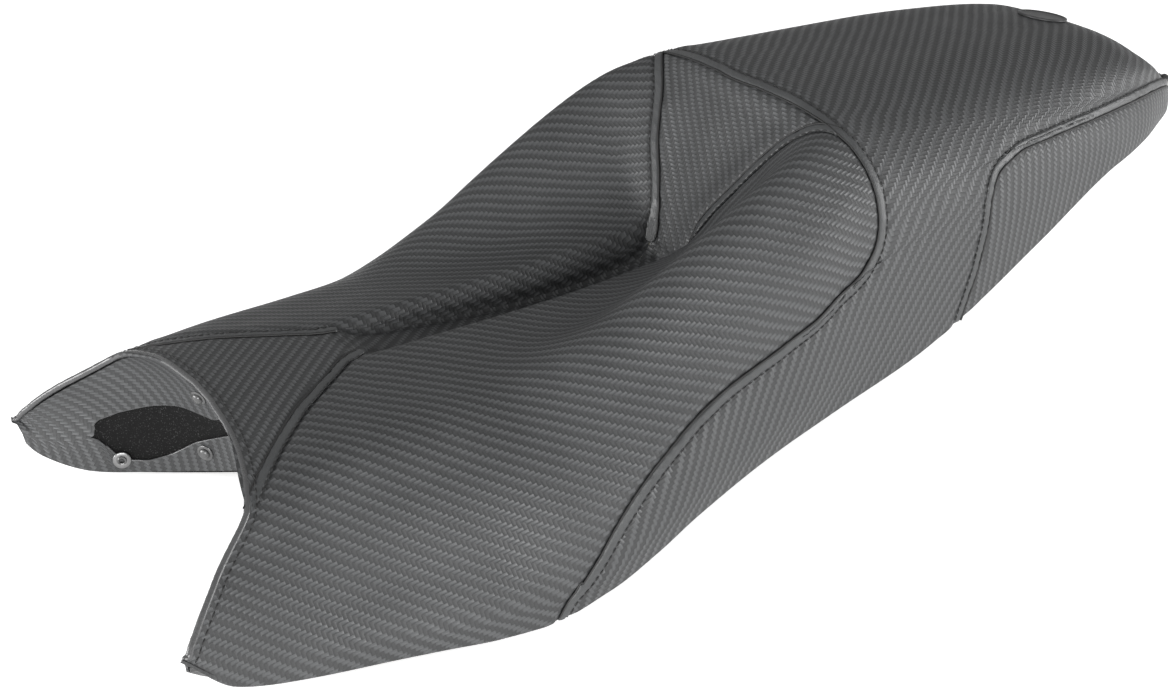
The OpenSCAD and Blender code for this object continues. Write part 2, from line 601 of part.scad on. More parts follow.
module rivet_washers() {
    color(steel_colour) for (r = RIVETS) on_arch(r[0], r[1], -vinyl_t - 2 * layer_gap)
        difference() {
            cylinder(h = 0.9, r = washer_r, $fn = 40);
            translate([0, 0, -1]) cylinder(h = 3, r = rivet_r * 0.7, $fn = 32);
        }
}

module cover_rivets() {
    color(steel_colour) for (r = RIVETS) on_arch(r[0], r[1], -vinyl_t - 2 * layer_gap - 1)
        difference() {
            cylinder(h = 1.4, r = rivet_r, $fn = 32);
            translate([0, 0, 0.5]) cylinder(h = 2, r = rivet_r * 0.45, $fn = 32);
        }
}

// Plain round patch sewn on near the tail
module tail_badge() {
    y = 621;
    p = skin(y, 0);
    n = skin_normal(y, 0);
    color([0.1, 0.1, 0.1]) place() translate(p + n * 0.15) rotate([-atan2(n[1], n[2]), 0, 0])
        cylinder(h = 0.9, r = 15, $fn = 48);
}

seat_pan();
pan_ribs();
arch_wall();
horn_floor_left();
horn_floor_right();
foam_cushion();
gel_pad_left();
gel_pad_right();
cover_nose();
cover_side_left();
cover_side_right();
cover_channel();
cover_bumstop();
cover_passenger();
cover_tail_left();
cover_tail_right();
arch_liner();
arch_hem();
tongue_bracket();
tongue_screws();
striker_plate();
striker_loop();
striker_screws();
bumpers_front();
bumpers_middle();
bumpers_rear();
rivet_washers();
cover_rivets();
tail_badge();
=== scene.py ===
"""Motorcycle seat: embossed vinyl sewn over foam on a moulded pan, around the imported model."""

import math

import bpy
import numpy as np
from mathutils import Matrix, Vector
from mathutils.kdtree import KDTree


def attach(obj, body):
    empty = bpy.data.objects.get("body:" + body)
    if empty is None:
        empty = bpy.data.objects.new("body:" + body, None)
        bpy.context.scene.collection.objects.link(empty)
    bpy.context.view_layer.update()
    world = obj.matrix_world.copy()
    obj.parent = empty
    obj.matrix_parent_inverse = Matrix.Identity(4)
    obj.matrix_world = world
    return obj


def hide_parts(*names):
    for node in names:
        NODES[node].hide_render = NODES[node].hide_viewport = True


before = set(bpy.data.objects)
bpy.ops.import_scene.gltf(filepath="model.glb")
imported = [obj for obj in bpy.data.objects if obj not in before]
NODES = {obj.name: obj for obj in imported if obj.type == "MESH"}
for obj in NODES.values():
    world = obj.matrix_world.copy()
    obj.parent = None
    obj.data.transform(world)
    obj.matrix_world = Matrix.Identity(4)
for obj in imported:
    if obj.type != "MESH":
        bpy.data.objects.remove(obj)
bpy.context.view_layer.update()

# ---- the skin of the seat, in millimetres: the same guide lines as the CAD model ----
# Each row is [y from the horn tips, x, z from the lowest edge].

MIDDLE = [[0, 0, 84], [66, 0, 96], [100, 0, 100], [146, 0, 103], [200, 0, 106], [260, 0, 108],
          [300, 0, 110], [330, 0, 113], [343, 0, 117], [354, 0, 136], [366, 0, 161],
          [379, 0, 189], [389, 0, 204], [400, 0, 207], [440, 0, 209], [520, 0, 209],
          [580, 0, 207], [621, 0, 203], [650, 0, 194], [680, 0, 179], [705, 0, 164],
          [713, 0, 159.5], [719, 0, 155], [722, 0, 151]]
BOLSTER = [[0, 20, 83], [66, 18, 95.5], [100, 18, 99.5], [146, 18, 103], [200, 18, 106],
           [260, 18, 109], [300, 18, 112], [330, 18, 116], [343, 18, 120], [354, 18, 138],
           [366, 18, 161], [379, 18, 188], [389, 18, 203.5], [400, 18, 207], [440, 18, 208.5],
           [520, 18, 208.5], [580, 18, 206.5], [621, 18, 202.5], [650, 17, 193.5],
           [680, 13, 178.5], [705, 9, 163.5], [713, 7, 159],
           [719, 4.5, 154.5], [722, 0.05, 150.5]]
SADDLE = [[0, 62, 80], [60, 60, 91], [100, 55, 97], [146, 55, 99], [200, 55, 103],
          [250, 55, 109], [300, 55, 124], [343, 55, 146], [366, 52, 170], [380, 50, 188],
          [391, 50, 202], [402, 52, 205], [440, 52, 206], [520, 52, 206], [580, 50, 204],
          [621, 47, 200], [650, 40, 190], [680, 30, 175], [705, 20, 161],
          [713, 15, 157.5], [719, 9, 153.5], [722, 0.05, 150]]
CREST = [[0, 100, 70], [50, 95, 78], [75, 91, 84], [100, 89, 88], [150, 88, 92], [185, 88, 95],
         [210, 89, 103], [230, 90, 112], [250, 91, 122], [272, 92, 136], [295, 93, 150],
         [320, 93, 165], [348, 92, 180], [370, 89, 189], [395, 85, 194], [430, 86, 191],
         [504, 86, 190], [580, 80, 189], [621, 72, 187], [650, 62, 181], [680, 46, 169],
         [705, 31, 157], [713, 22, 155], [719, 13, 151.5], [722, 0.05, 148.5]]
SHOULDER = [[0, 118, 60], [24, 116, 58], [50, 110, 62], [100, 107, 70], [150, 111, 74],
            [200, 116, 82], [250, 119, 98], [300, 120, 122], [348, 116, 150], [390, 106, 172],
            [430, 103, 172], [490, 101, 170], [553, 94, 172], [600, 84, 173], [635, 73, 172],
            [668, 57, 168], [690, 44, 163], [710, 25, 156],
            [718, 19, 152.5], [721, 10, 149.5], [722, 0.05, 147.5]]
FLANK = [[0, 127, 48], [24, 128, 40], [50, 126, 38], [100, 127, 40], [150, 134, 40],
         [200, 141, 48], [250, 141, 66], [300, 134, 82], [348, 128, 106], [390, 119, 130],
         [430, 114, 138], [490, 109, 140], [553, 100, 152], [600, 90, 158], [635, 78, 158],
         [668, 61, 156], [690, 47, 154], [710, 27, 151], [718, 20, 149],
         [721, 11, 147], [722, 0.05, 146]]
SKIRT = [[0, 131, 40], [22, 135, 24], [50, 135, 19], [100, 139, 16], [150, 146, 13],
         [200, 149, 16], [250, 145, 34], [300, 137, 52], [348, 131, 70], [390, 124, 85],
         [430, 118, 98], [490, 110, 108], [553, 100, 130], [600, 91, 146], [635, 79, 149],
         [668, 62, 150], [690, 48, 149], [710, 28, 148],
         [718, 21, 146.5], [721, 11, 145.3], [722, 0.05, 145]]
LOWER_EDGE = [[0, 132, 36], [22, 136, 17], [55, 137, 9], [90, 139, 5], [122, 143, 3],
              [152, 147, 1], [176, 148, 0], [214, 146, 6], [245, 142, 16], [270, 139, 27],
              [320, 131, 42], [370, 125, 54], [431, 118, 68], [465, 113, 79], [530, 103, 107],
              [605, 89, 137], [640, 76, 141], [665, 63, 143], [690, 48, 144], [710, 28, 144],
              [718, 21, 144], [721, 11, 144], [722, 0.05, 144]]
GUIDES = [MIDDLE, BOLSTER, SADDLE, CREST, SHOULDER, FLANK, SKIRT, LOWER_EDGE]
EDGE_W = 7
LENGTH = 722.0
CHANNEL_R = 14.0
CHANNEL_SLOPE = 9
CHANNEL_DEPTH = [[146, 0], [156, 5], [172, 9], [210, 14], [260, 18], [310, 18], [342, 15],
                 [353, 0]]

# Seams and edges as [y, guide number] points on the skin
TAIL_END = 722.0
ARCH_EDGE = [[66, 0], [65.5, 1], [61, 2], [50, 3], [24, 4], [10, 5], [4, 6], [0, 7]]
NOSE_SEAM = [[50, 3], [66, 2.55], [92, 1.95], [120, 1.35], [146, 0.85]]
CHANNEL_SEAM = [[146, 0.85], [200, 0.85], [260, 0.85], [310, 0.85], [343, 0.9]]
BUMSTOP_SEAM = [[343, 0.9], [352, 1.2], [362, 1.7], [375, 2.2], [388, 2.75], [395, 3]]
RIDGE_SEAM = [[389, 0], [390, 1], [392, 2], [395, 3]]
FLANK_SEAM = [[395, 3], [397.5, 3.2], [400, 3.45], [402, 3.7], [403.2, 3.95], [404, 4.3],
              [403, 4.6], [400, 4.8], [390, 5.02], [365, 5], [328, 4.85], [296, 4.75],
              [270, 4.8], [240, 5.1], [212, 5.6], [193, 6.2], [185, 7]]
TAIL_SEAM = [[TAIL_END, 4], [705, 4], [680, 4], [640, 4], [590, 4], [540, 4], [505, 4.1],
             [488, 4.4], [482.5, 4.8], [480.5, 5.15], [477.5, 5.5], [475, 5.8], [472.5, 6.05],
             [470, 6.3], [468, 6.5], [465.5, 6.75], [463, 7]]
ARCH_LIP = [[0, 112, 25], [30, 110, 21], [58, 101, 9], [83, 83, 2], [98, 61, 1.5],
            [108, 33, 6], [118, 12, 17], [127, 3, 28]]


class Curve:
    """Smooth curves through a table's rows that never overshoot them."""

    def __init__(self, table):
        t = np.array(table, float)
        self.at, self.rows = t[:, 0], t[:, 1:]
        h = np.diff(self.at)[:, None]
        chords = np.diff(self.rows, axis=0) / h
        g, k = h[:-1], h[1:]
        a, b = chords[:-1], chords[1:]
        same = a * b > 0
        a, b = np.where(same, a, 1), np.where(same, b, 1)
        inner = np.where(same, 3 * (g + k) / ((2 * k + g) / a + (k + 2 * g) / b), 0)
        self.slopes = np.vstack([chords[:1], inner, chords[-1:]])

    def __call__(self, y):
        i = np.clip(np.searchsorted(self.at, y, side="right") - 1, 0, len(self.at) - 2)
        h = (self.at[i + 1] - self.at[i])[:, None]
        s = np.clip((y - self.at[i])[:, None] / h, 0, 1)
        return hermite(self.rows[i], self.rows[i + 1], self.slopes[i] * h,
                       self.slopes[i + 1] * h, s)


def hermite(a, b, ma, mb, s):
    return (a * (1 + 2 * s) * (1 - s) ** 2 + ma * s * (1 - s) ** 2
            + b * s * s * (3 - 2 * s) + mb * s * s * (s - 1))


CURVES = [Curve(g) for g in GUIDES]


def lengths(points):
    """Length along a line at each of its points."""
    return np.concatenate([[0], np.cumsum(np.linalg.norm(np.diff(points, axis=0), axis=1))])


def smoothstep(s):
    q = np.clip(s, 0, 1)
    return q * q * (3 - 2 * q)


def skin(y, w):
    """Points of the skin at stations y and guide numbers w, negative w on the right half."""
    y, w = np.broadcast_arrays(np.asarray(y, float), np.asarray(w, float))
    shape = y.shape
    y, w = y.ravel(), w.ravel()
    guides = [c(y) for c in CURVES]
    guides = [guides[1] * [-1, 1]] + guides + [2 * guides[7] - guides[6]]
    guides = np.stack(guides)
    i = np.minimum(EDGE_W - 1, np.floor(np.abs(w))).astype(int)
    f = (np.abs(w) - i)[:, None]
    n = np.arange(len(y))
    a, b, c, d = (guides[i + k, n] for k in range(4))
    g, h, k = (np.linalg.norm(q, axis=1)[:, None] + 0.001 for q in (b - a, c - b, d - c))
    tb = ((b - a) / g * h + (c - b) / h * g) / (g + h)
    tc = ((c - b) / h * k + (d - c) / k * h) / (h + k)
    span = h - 0.001
    q = hermite(b, c, tb * span, tc * span, f)
    depth = np.interp(y, *np.array(CHANNEL_DEPTH, float).T)
    drop = depth * (1 - smoothstep((np.abs(q[:, 0]) - CHANNEL_R) / CHANNEL_SLOPE))
    side = np.where(w < 0, -1, 1)
    return np.stack([side * q[:, 0], y, q[:, 1] - drop], 1).reshape(*shape, 3)


def unit(v):
    return v / np.maximum(np.linalg.norm(v, axis=-1, keepdims=True), 1e-6)


def skin_frame(y, w):
    """Points of the skin, their changes along y and along w, and the outward normals."""
    y, w = np.broadcast_arrays(np.asarray(y, float), np.asarray(w, float))
    e = 0.04
    along_w = skin(y, np.minimum(w + e, EDGE_W)) - skin(y, np.maximum(w - e, -EDGE_W))
    along_w /= (np.minimum(w + e, EDGE_W) - np.maximum(w - e, -EDGE_W))[..., None]
    ya, yb = np.maximum(y - 1, 0), np.minimum(y + 1, LENGTH)
    along_y = (skin(yb, w) - skin(ya, w)) / (yb - ya)[..., None]
    return skin(y, w), along_y, along_w, unit(np.cross(along_w, along_y))


def run(rows, s):
    """Smooth line through rows of [y, w] at fractions s of the rows."""
    p = np.array(rows, float)
    t = np.clip(np.asarray(s, float), 0, 1) * (len(p) - 1)
    i = np.minimum(len(p) - 2, np.floor(t)).astype(int)
    f = (t - i)[..., None]
    if len(p) == 2:
        return p[i] + (p[i + 1] - p[i]) * f
    step = np.diff(p, axis=0)
    g = np.linalg.norm(step * [1, 25], axis=1)[:, None]
    inner = (step[:-1] / g[:-1] * g[1:] + step[1:] / g[1:] * g[:-1]) / (g[:-1] + g[1:])
    tan = np.vstack([step[:1] / g[:1], inner, step[-1:] / g[-1:]])
    return hermite(p[i], p[i + 1], tan[i] * g[i], tan[i + 1] * g[i], f)


def arch_face(a, b):
    """Points of the arch's inner face: a from tip to tip, b from the hem down to the lip."""
    a, b = np.broadcast_arrays(np.asarray(a, float), np.asarray(b, float))
    e = run(ARCH_EDGE, np.abs(a))
    top = skin(e[..., 0], e[..., 1]) - [0, 0, 1.5]
    lip = np.array(ARCH_LIP, float)
    t = np.abs(a) * (len(lip) - 1)
    i = np.minimum(len(lip) - 2, np.floor(t)).astype(int)
    f = (t - i)[..., None]
    tan = np.gradient(lip, axis=0)
    tan[0] = [tan[0, 0], 0, 0]
    lip = hermite(lip[i], lip[i + 1], tan[i], tan[i + 1], f)
    bulge = top * [0.1, 0.18, 0.8] + lip * [0.9, 0.82, 0.2]
    b = b[..., None]
    q = top * (1 - b) ** 2 + bulge * 2 * b * (1 - b) + lip * b * b
    q[..., 0] *= np.where(a < 0, -1, 1)
    return q


# ---- smooth lines on the skin, each a function of fractions ----

def mirrored(rows):
    return [[y, -w] for y, w in rows[:0:-1]] + rows


SIDE_INNER = NOSE_SEAM + CHANNEL_SEAM[1:] + BUMSTOP_SEAM[1:]
RIDGE_LINE = mirrored(RIDGE_SEAM + FLANK_SEAM[1:])
ARCH_LINE = mirrored(ARCH_EDGE)


def nose_seam(s):
    return run(SIDE_INNER, np.asarray(s) * 4 / 13)


def channel_seam(s):
    return run(SIDE_INNER, (4 + 4 * np.asarray(s)) / 13)


def bumstop_seam(s):
    return run(SIDE_INNER, (8 + 5 * np.asarray(s)) / 13)


def ridge_line(c):
    """The ridge and both flank seams, c from the right lower edge to the left one."""
    return run(RIDGE_LINE, (1 + np.asarray(c)) / 2)


def tail_seam(s):
    return run(TAIL_SEAM, s)


def arch_line(a):
    return run(ARCH_LINE, (1 + np.asarray(a)) / 2)


def tail_line(c):
    """The rear edge of the passenger panel, row for row with the ridge line."""
    a = np.abs(c) * 19
    end = np.stack([np.full_like(a, TAIL_END), a * 4 / 3], -1)
    p = np.where((a < 3)[..., None], end, tail_seam((a - 3) / 16))
    p[..., 1] *= np.where(c < 0, -1, 1)
    return p


def mix(a, b, s):
    return a + (b - a) * s


# ---- panels of the cover: each gives [y, w] at fractions s (front to rear) and c (outwards) ----

def nose_panel(s, c):
    f, seam = np.abs(c), nose_seam(s)
    front = arch_line(c * 3 / 7)[..., 0]
    y = mix(front, mix(146, seam[..., 0], f), s)
    return np.stack([mix(y, seam[..., 0], f ** 3), c * seam[..., 1]], -1)


def blended(inner, outer, front, rear, s, u):
    """Coons blend of the four edges of a panel, each a function of one fraction."""
    s, u = s[..., None], u[..., None]
    corner = [f(np.array(k, float)) for f in (inner, outer) for k in (0, 1)]
    flat = mix(mix(corner[0], corner[2], u), mix(corner[1], corner[3], u), s)
    return (mix(inner(s[..., 0]), outer(s[..., 0]), u)
            + mix(front(u[..., 0]), rear(u[..., 0]), s) - flat)


def side_panel(s, u):
    return blended(lambda k: run(SIDE_INNER, k), lambda k: run([[0, 7], [185, 7]], k),
                   lambda k: arch_line((3 + 4 * k) / 7),
                   lambda k: ridge_line((3 + 16 * k) / 19), s, u)


def channel_panel(s, c):
    seam = channel_seam(s)
    return np.stack([seam[..., 0], c * seam[..., 1]], -1)


def bumstop_panel(s, c):
    seam, ridge = bumstop_seam(s), ridge_line(c * 3 / 19)
    y = 343 + (ridge[..., 0] - 343) * s + (seam[..., 0] - 343 - 52 * s) * np.abs(c) ** 4
    return np.stack([y, c * seam[..., 1] + (ridge[..., 1] - 3 * c) * s], -1)


def passenger_panel(s, c):
    return mix(ridge_line(c), tail_line(c), s[..., None])


def tail_panel(s, u):
    return blended(lambda k: tail_seam((7 - 7 * k) / 16),
                   lambda k: run([[463, 7], [TAIL_END, 7]], k),
                   lambda k: tail_seam((7 + 9 * k) / 16),
                   lambda k: run([[TAIL_END, 4], [TAIL_END, 7]], k), s, u)


# ---- even and graded spacing along a line of the skin ----

FINE_STEP = 1.3


class Spacing:
    """Fractions t along a line of [y, w] by length, closer together near its marked ends."""

    def __init__(self, line, step, marked, start=0.0):
        t = np.linspace(start, 1, 500)
        p = skin(*np.moveaxis(line(t), -1, 0))
        self.t = t
        self.length = lengths(p)
        self.total = self.length[-1]
        x = np.linspace(0, self.total, 800)
        near = np.full_like(x, 99.0)
        if marked[0]:
            near = np.minimum(near, x)
        if marked[1]:
            near = np.minimum(near, self.total - x)
        h = FINE_STEP + (step - FINE_STEP) * smoothstep((near - 9) / 12)
        count = np.concatenate([[0], np.cumsum((x[1] - x[0]) / ((h[1:] + h[:-1]) / 2))])
        n = int(math.ceil(count[-1]))
        at = np.interp(np.linspace(0, count[-1], n + 1), count, x)
        self.sigma = at / self.total
        self.fractions = self.at(self.sigma)

    def at(self, sigma):
        return np.interp(np.asarray(sigma) * self.total, self.length, self.t)


def weights(sigma, m):
    """Matrix that takes m evenly spaced values to smooth values at fractions sigma."""
    t = np.asarray(sigma) * (m - 1)
    i = np.clip(np.floor(t).astype(int), 0, m - 2)
    f = t - i
    w = np.zeros((len(t), m + 2))
    row = np.arange(len(t))
    for k, v in enumerate([(2 * f * f - f - f ** 3) / 2, (2 - 5 * f * f + 3 * f ** 3) / 2,
                           (f + 4 * f * f - 3 * f ** 3) / 2, (f ** 3 - f * f) / 2]):
        w[row, i + k] += v
    w[:, 1] += 2 * w[:, 0]
    w[:, 2] -= w[:, 0]
    w[:, m] += 2 * w[:, m + 1]
    w[:, m - 1] -= w[:, m + 1]
    return w[:, 1:m + 1]


def girth_map(y, w, base):
    """Rough flat coordinates: length along guide `base`, and girth outwards from it."""
    ys = np.linspace(0, LENGTH, 241)
    along = lengths(skin(ys, np.full_like(ys, base)))
    k = np.linspace(0, 1, 25)
    w0 = np.full_like(y, base) * np.where(w < 0, -1, 1) if base else np.zeros_like(y)
    arcs = skin(y[..., None] + 0 * k, w0[..., None] + (w - w0)[..., None] * k)
    girth = np.linalg.norm(np.diff(arcs, axis=-2), axis=-1).sum(-1) * np.sign(w - w0)
    return np.stack([np.interp(y, ys, along), girth], -1)


def laid_flat(points, guess, rounds=30):
    """Flat pattern of a panel, a grid of points, with the least stretch (as rigid as possible)."""
    m, n = points.shape[:2]
    k = np.arange(m * n).reshape(m, n)
    a, b, c, d = k[:-1, :-1].ravel(), k[:-1, 1:].ravel(), k[1:, :-1].ravel(), k[1:, 1:].ravel()
    tris = np.vstack([np.stack([a, b, d], 1), np.stack([a, d, c], 1)])
    uv = guess.reshape(-1, 2).copy()
    e1, e2 = uv[tris[:, 1]] - uv[tris[:, 0]], uv[tris[:, 2]] - uv[tris[:, 0]]
    if (e1[:, 0] * e2[:, 1] - e1[:, 1] * e2[:, 0]).sum() < 0:
        tris = tris[:, [0, 2, 1]]
    x = points.reshape(-1, 3)[tris]
    e1, e2 = x[:, 1] - x[:, 0], x[:, 2] - x[:, 0]
    length = np.linalg.norm(e1, axis=1) + 1e-9
    ex = e1 / length[:, None]
    along = (e2 * ex).sum(1)
    flat = np.zeros((len(tris), 3, 2))
    flat[:, 1, 0] = length
    flat[:, 2, 0] = along
    flat[:, 2, 1] = np.linalg.norm(e2 - ex * along[:, None], axis=1)
    edges = []
    for i in range(3):
        p, q = flat[:, (i + 1) % 3] - flat[:, i], flat[:, (i + 2) % 3] - flat[:, i]
        cot = (p * q).sum(1) / (np.abs(p[:, 0] * q[:, 1] - p[:, 1] * q[:, 0]) + 1e-6)
        edges.append(((i + 1) % 3, (i + 2) % 3, np.clip(cot, 0.05, 20)))
    size = m * n
    lap = np.zeros((size, size))
    for i, j, cot in edges:
        p, q = tris[:, i], tris[:, j]
        np.add.at(lap, (p, q), -cot)
        np.add.at(lap, (q, p), -cot)
        np.add.at(lap, (p, p), cot)
        np.add.at(lap, (q, q), cot)
    lap[0, :] = 0
    lap[0, 0] = 1
    solve = np.linalg.inv(lap)
    for _ in range(rounds):
        re, im = np.zeros(len(tris)), np.zeros(len(tris))
        for i, j, cot in edges:
            u, f = uv[tris[:, i]] - uv[tris[:, j]], flat[:, i] - flat[:, j]
            re += cot * (u * f).sum(1)
            im += cot * (u[:, 1] * f[:, 0] - u[:, 0] * f[:, 1])
        r = np.hypot(re, im) + 1e-12
        re, im = re / r, im / r
        rhs = np.zeros((size, 2))
        for i, j, cot in edges:
            f = flat[:, i] - flat[:, j]
            g = cot[:, None] * np.stack([re * f[:, 0] - im * f[:, 1],
                                         im * f[:, 0] + re * f[:, 1]], 1)
            np.add.at(rhs, tris[:, i], g)
            np.add.at(rhs, tris[:, j], -g)
        rhs[0] = uv[0]
        uv = solve @ rhs
    p, q = uv - uv.mean(0), guess.reshape(-1, 2) - guess.reshape(-1, 2).mean(0)
    re, im = (p * q).sum(), (p[:, 0] * q[:, 1] - p[:, 1] * q[:, 0]).sum()
    r = math.hypot(re, im)
    turn = np.array([[re, im], [-im, re]]) / r
    return (p @ turn).reshape(m, n, 2)


# ---- meshes ----

MIDDLE_Y = 361
CREASE = math.radians(55)


def metres(p):
    return (np.asarray(p, float) - [0, MIDDLE_Y, 0]) / 1000


def turned(uv, degrees):
    """Flat coordinates in millimetres turned about the origin and counted in tows."""
    a = math.radians(degrees)
    return uv @ np.array([[math.cos(a), math.sin(a)], [-math.sin(a), math.cos(a)]]) / TOW


def placed(name, data):
    o = bpy.data.objects.new(name, data)
    bpy.context.scene.collection.objects.link(o)
    return o


def finished(name, points, faces, material, uv=None):
    """A piece from points in millimetres, riding on the body."""
    mesh = bpy.data.meshes.new(name)
    mesh.from_pydata(metres(points).tolist(), [], faces)
    if uv is not None:
        layer = mesh.uv_layers.new(name="weave")
        loops = np.zeros(len(mesh.loops), int)
        mesh.loops.foreach_get("vertex_index", loops)
        layer.data.foreach_set("uv", np.asarray(uv)[loops].ravel().astype(np.float32))
    mesh.polygons.foreach_set("use_smooth", [True] * len(mesh.polygons))
    mesh.materials.append(material)
    mesh.update()
    mesh.set_sharp_from_angle(angle=CREASE)
    piece = placed(name, mesh)
    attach(piece, "root")
    return piece


def grid_faces(m, n, start=0, flip=False):
    k = start + np.arange(m * n).reshape(m, n)
    q = np.stack([k[:-1, :-1], k[:-1, 1:], k[1:, 1:], k[1:, :-1]], -1).reshape(-1, 4)
    return (q[:, ::-1] if flip else q).tolist()


def closed_sheet(outer, inner, flip=False):
    """Points and faces of the solid between two grids of the same size, outer first."""
    m, n = outer.shape[:2]
    points = np.vstack([outer.reshape(-1, 3), inner.reshape(-1, 3)])
    faces = grid_faces(m, n, 0, flip) + grid_faces(m, n, m * n, not flip)
    k = np.arange(m * n).reshape(m, n)
    rim = np.concatenate([k[0, :-1], k[:-1, -1], k[-1, :0:-1], k[:0:-1, 0]])
    after = np.roll(rim, -1)
    sides = np.stack([after, rim, rim + m * n, after + m * n], 1)
    return points, faces + (sides[:, ::-1] if flip else sides).tolist()


def tube(rings):
    """Points and faces of a closed loft through rings of equal size."""
    m, n = rings.shape[:2]
    k = np.arange(m * n).reshape(m, n)
    j = np.roll(k, -1, axis=1)
    faces = np.stack([k[:-1], j[:-1], j[1:], k[1:]], -1).reshape(-1, 4).tolist()
    return rings.reshape(-1, 3), faces + [k[0, ::-1].tolist(), k[-1].tolist()]


def joined(parts):
    """Several (points, faces) as one."""
    points, faces, start = [], [], 0
    for p, f in parts:
        points.append(p)
        faces += [[i + start for i in face] for face in f]
        start += len(p)
    return np.vstack(points), faces


def mirror(part):
    points, faces = part
    return points * [-1, 1, 1], [face[::-1] for face in faces]


def wavering(x, scale, seed):
    """Smooth random values of x that change over about `scale`."""
    r = np.random.default_rng(seed)
    out = 0
    for k in range(5):
        out = out + np.sin(x * 2 * math.pi / (scale * r.uniform(0.7, 1.9)) + r.uniform(0, 6.3))
    return out / 2.5


# ---- seams: lines of 3-D points with their places, for grooves, bands and stitches ----

class Seam:
    def __init__(self, line, start=0.0, end=1.0, step=1.2):
        t = np.linspace(start, end, 900)
        rough = skin(*np.moveaxis(line(t), -1, 0))
        length = lengths(rough)
        self.length = length[-1]
        n = max(8, int(self.length / step))
        self.s = np.linspace(0, self.length, n + 1)
        self.yw = line(np.interp(self.s, length, t))
        self.yw[:, 0] = np.clip(self.yw[:, 0], 0, LENGTH)
        self.yw[:, 1] = np.clip(self.yw[:, 1], -EDGE_W, EDGE_W)
        self.p, self.py, self.pw, self.n = skin_frame(self.yw[:, 0], self.yw[:, 1])
        self.along = unit(np.gradient(self.p, axis=0))
        self.side = unit(np.cross(self.n, self.along))

    def beside(self, t, height):
        """Points at t millimetres beside the seam and height over the skin, all along it."""
        q = self.side * np.reshape(t, (-1, 1))
        a, b, c = ((self.py ** 2).sum(1), (self.py * self.pw).sum(1), (self.pw ** 2).sum(1))
        e, f = (q * self.py).sum(1), (q * self.pw).sum(1)
        det = np.maximum(a * c - b * b, 1e-6)
        y = np.clip(self.yw[:, 0] + (c * e - b * f) / det, 0, LENGTH)
        w = np.clip(self.yw[:, 1] + (a * f - b * e) / det, -EDGE_W, EDGE_W)
        p, _, _, n = skin_frame(y, w)
        return p + n * np.asarray(height)[..., None]


SEAMS = {
    "nose": Seam(nose_seam),
    "channel": Seam(channel_seam),
    "bumstop": Seam(bumstop_seam),
    "ridge": Seam(ridge_line, -1, 1),
    "tail": Seam(tail_seam, 0.02, 1),
    "front": Seam(lambda k: np.stack([146 + 0 * k, 0.85 * k], -1), -1, 1),
    "rear": Seam(lambda k: np.stack([343 + 0 * k, 0.9 * k], -1), -1, 1),
}

seam_points, seam_along = [], []
for key, seam in SEAMS.items():
    for side in (1, -1):
        seam_points.append(seam.p * [side, 1, 1])
        seam_along.append(seam.s + 700 * len(seam_along))
seam_points, seam_along = np.vstack(seam_points), np.concatenate(seam_along)
tree = KDTree(len(seam_points))
for i, p in enumerate(seam_points):
    tree.insert(p, i)
tree.balance()


def to_seam(points):
    """Distance from each point to the nearest seam, and its place along the seams."""
    flat = points.reshape(-1, 3)
    near = [tree.find(p) for p in flat]
    d = np.array([h[2] for h in near])
    at = seam_along[[h[1] for h in near]]
    return d.reshape(points.shape[:-1]), at.reshape(points.shape[:-1])


VINYL_T = 1.2
TOW = 2.0
EDGE_R = 1.5
cover_points, cover_normals = [], []


def grid_of(place, s, c):
    """Stations and guide numbers of a panel at all pairs of fractions s and c."""
    yw = place(*np.meshgrid(s, c, indexing="ij"))
    return np.clip(yw[..., 0], 0, LENGTH), np.clip(yw[..., 1], -EDGE_W, EDGE_W)


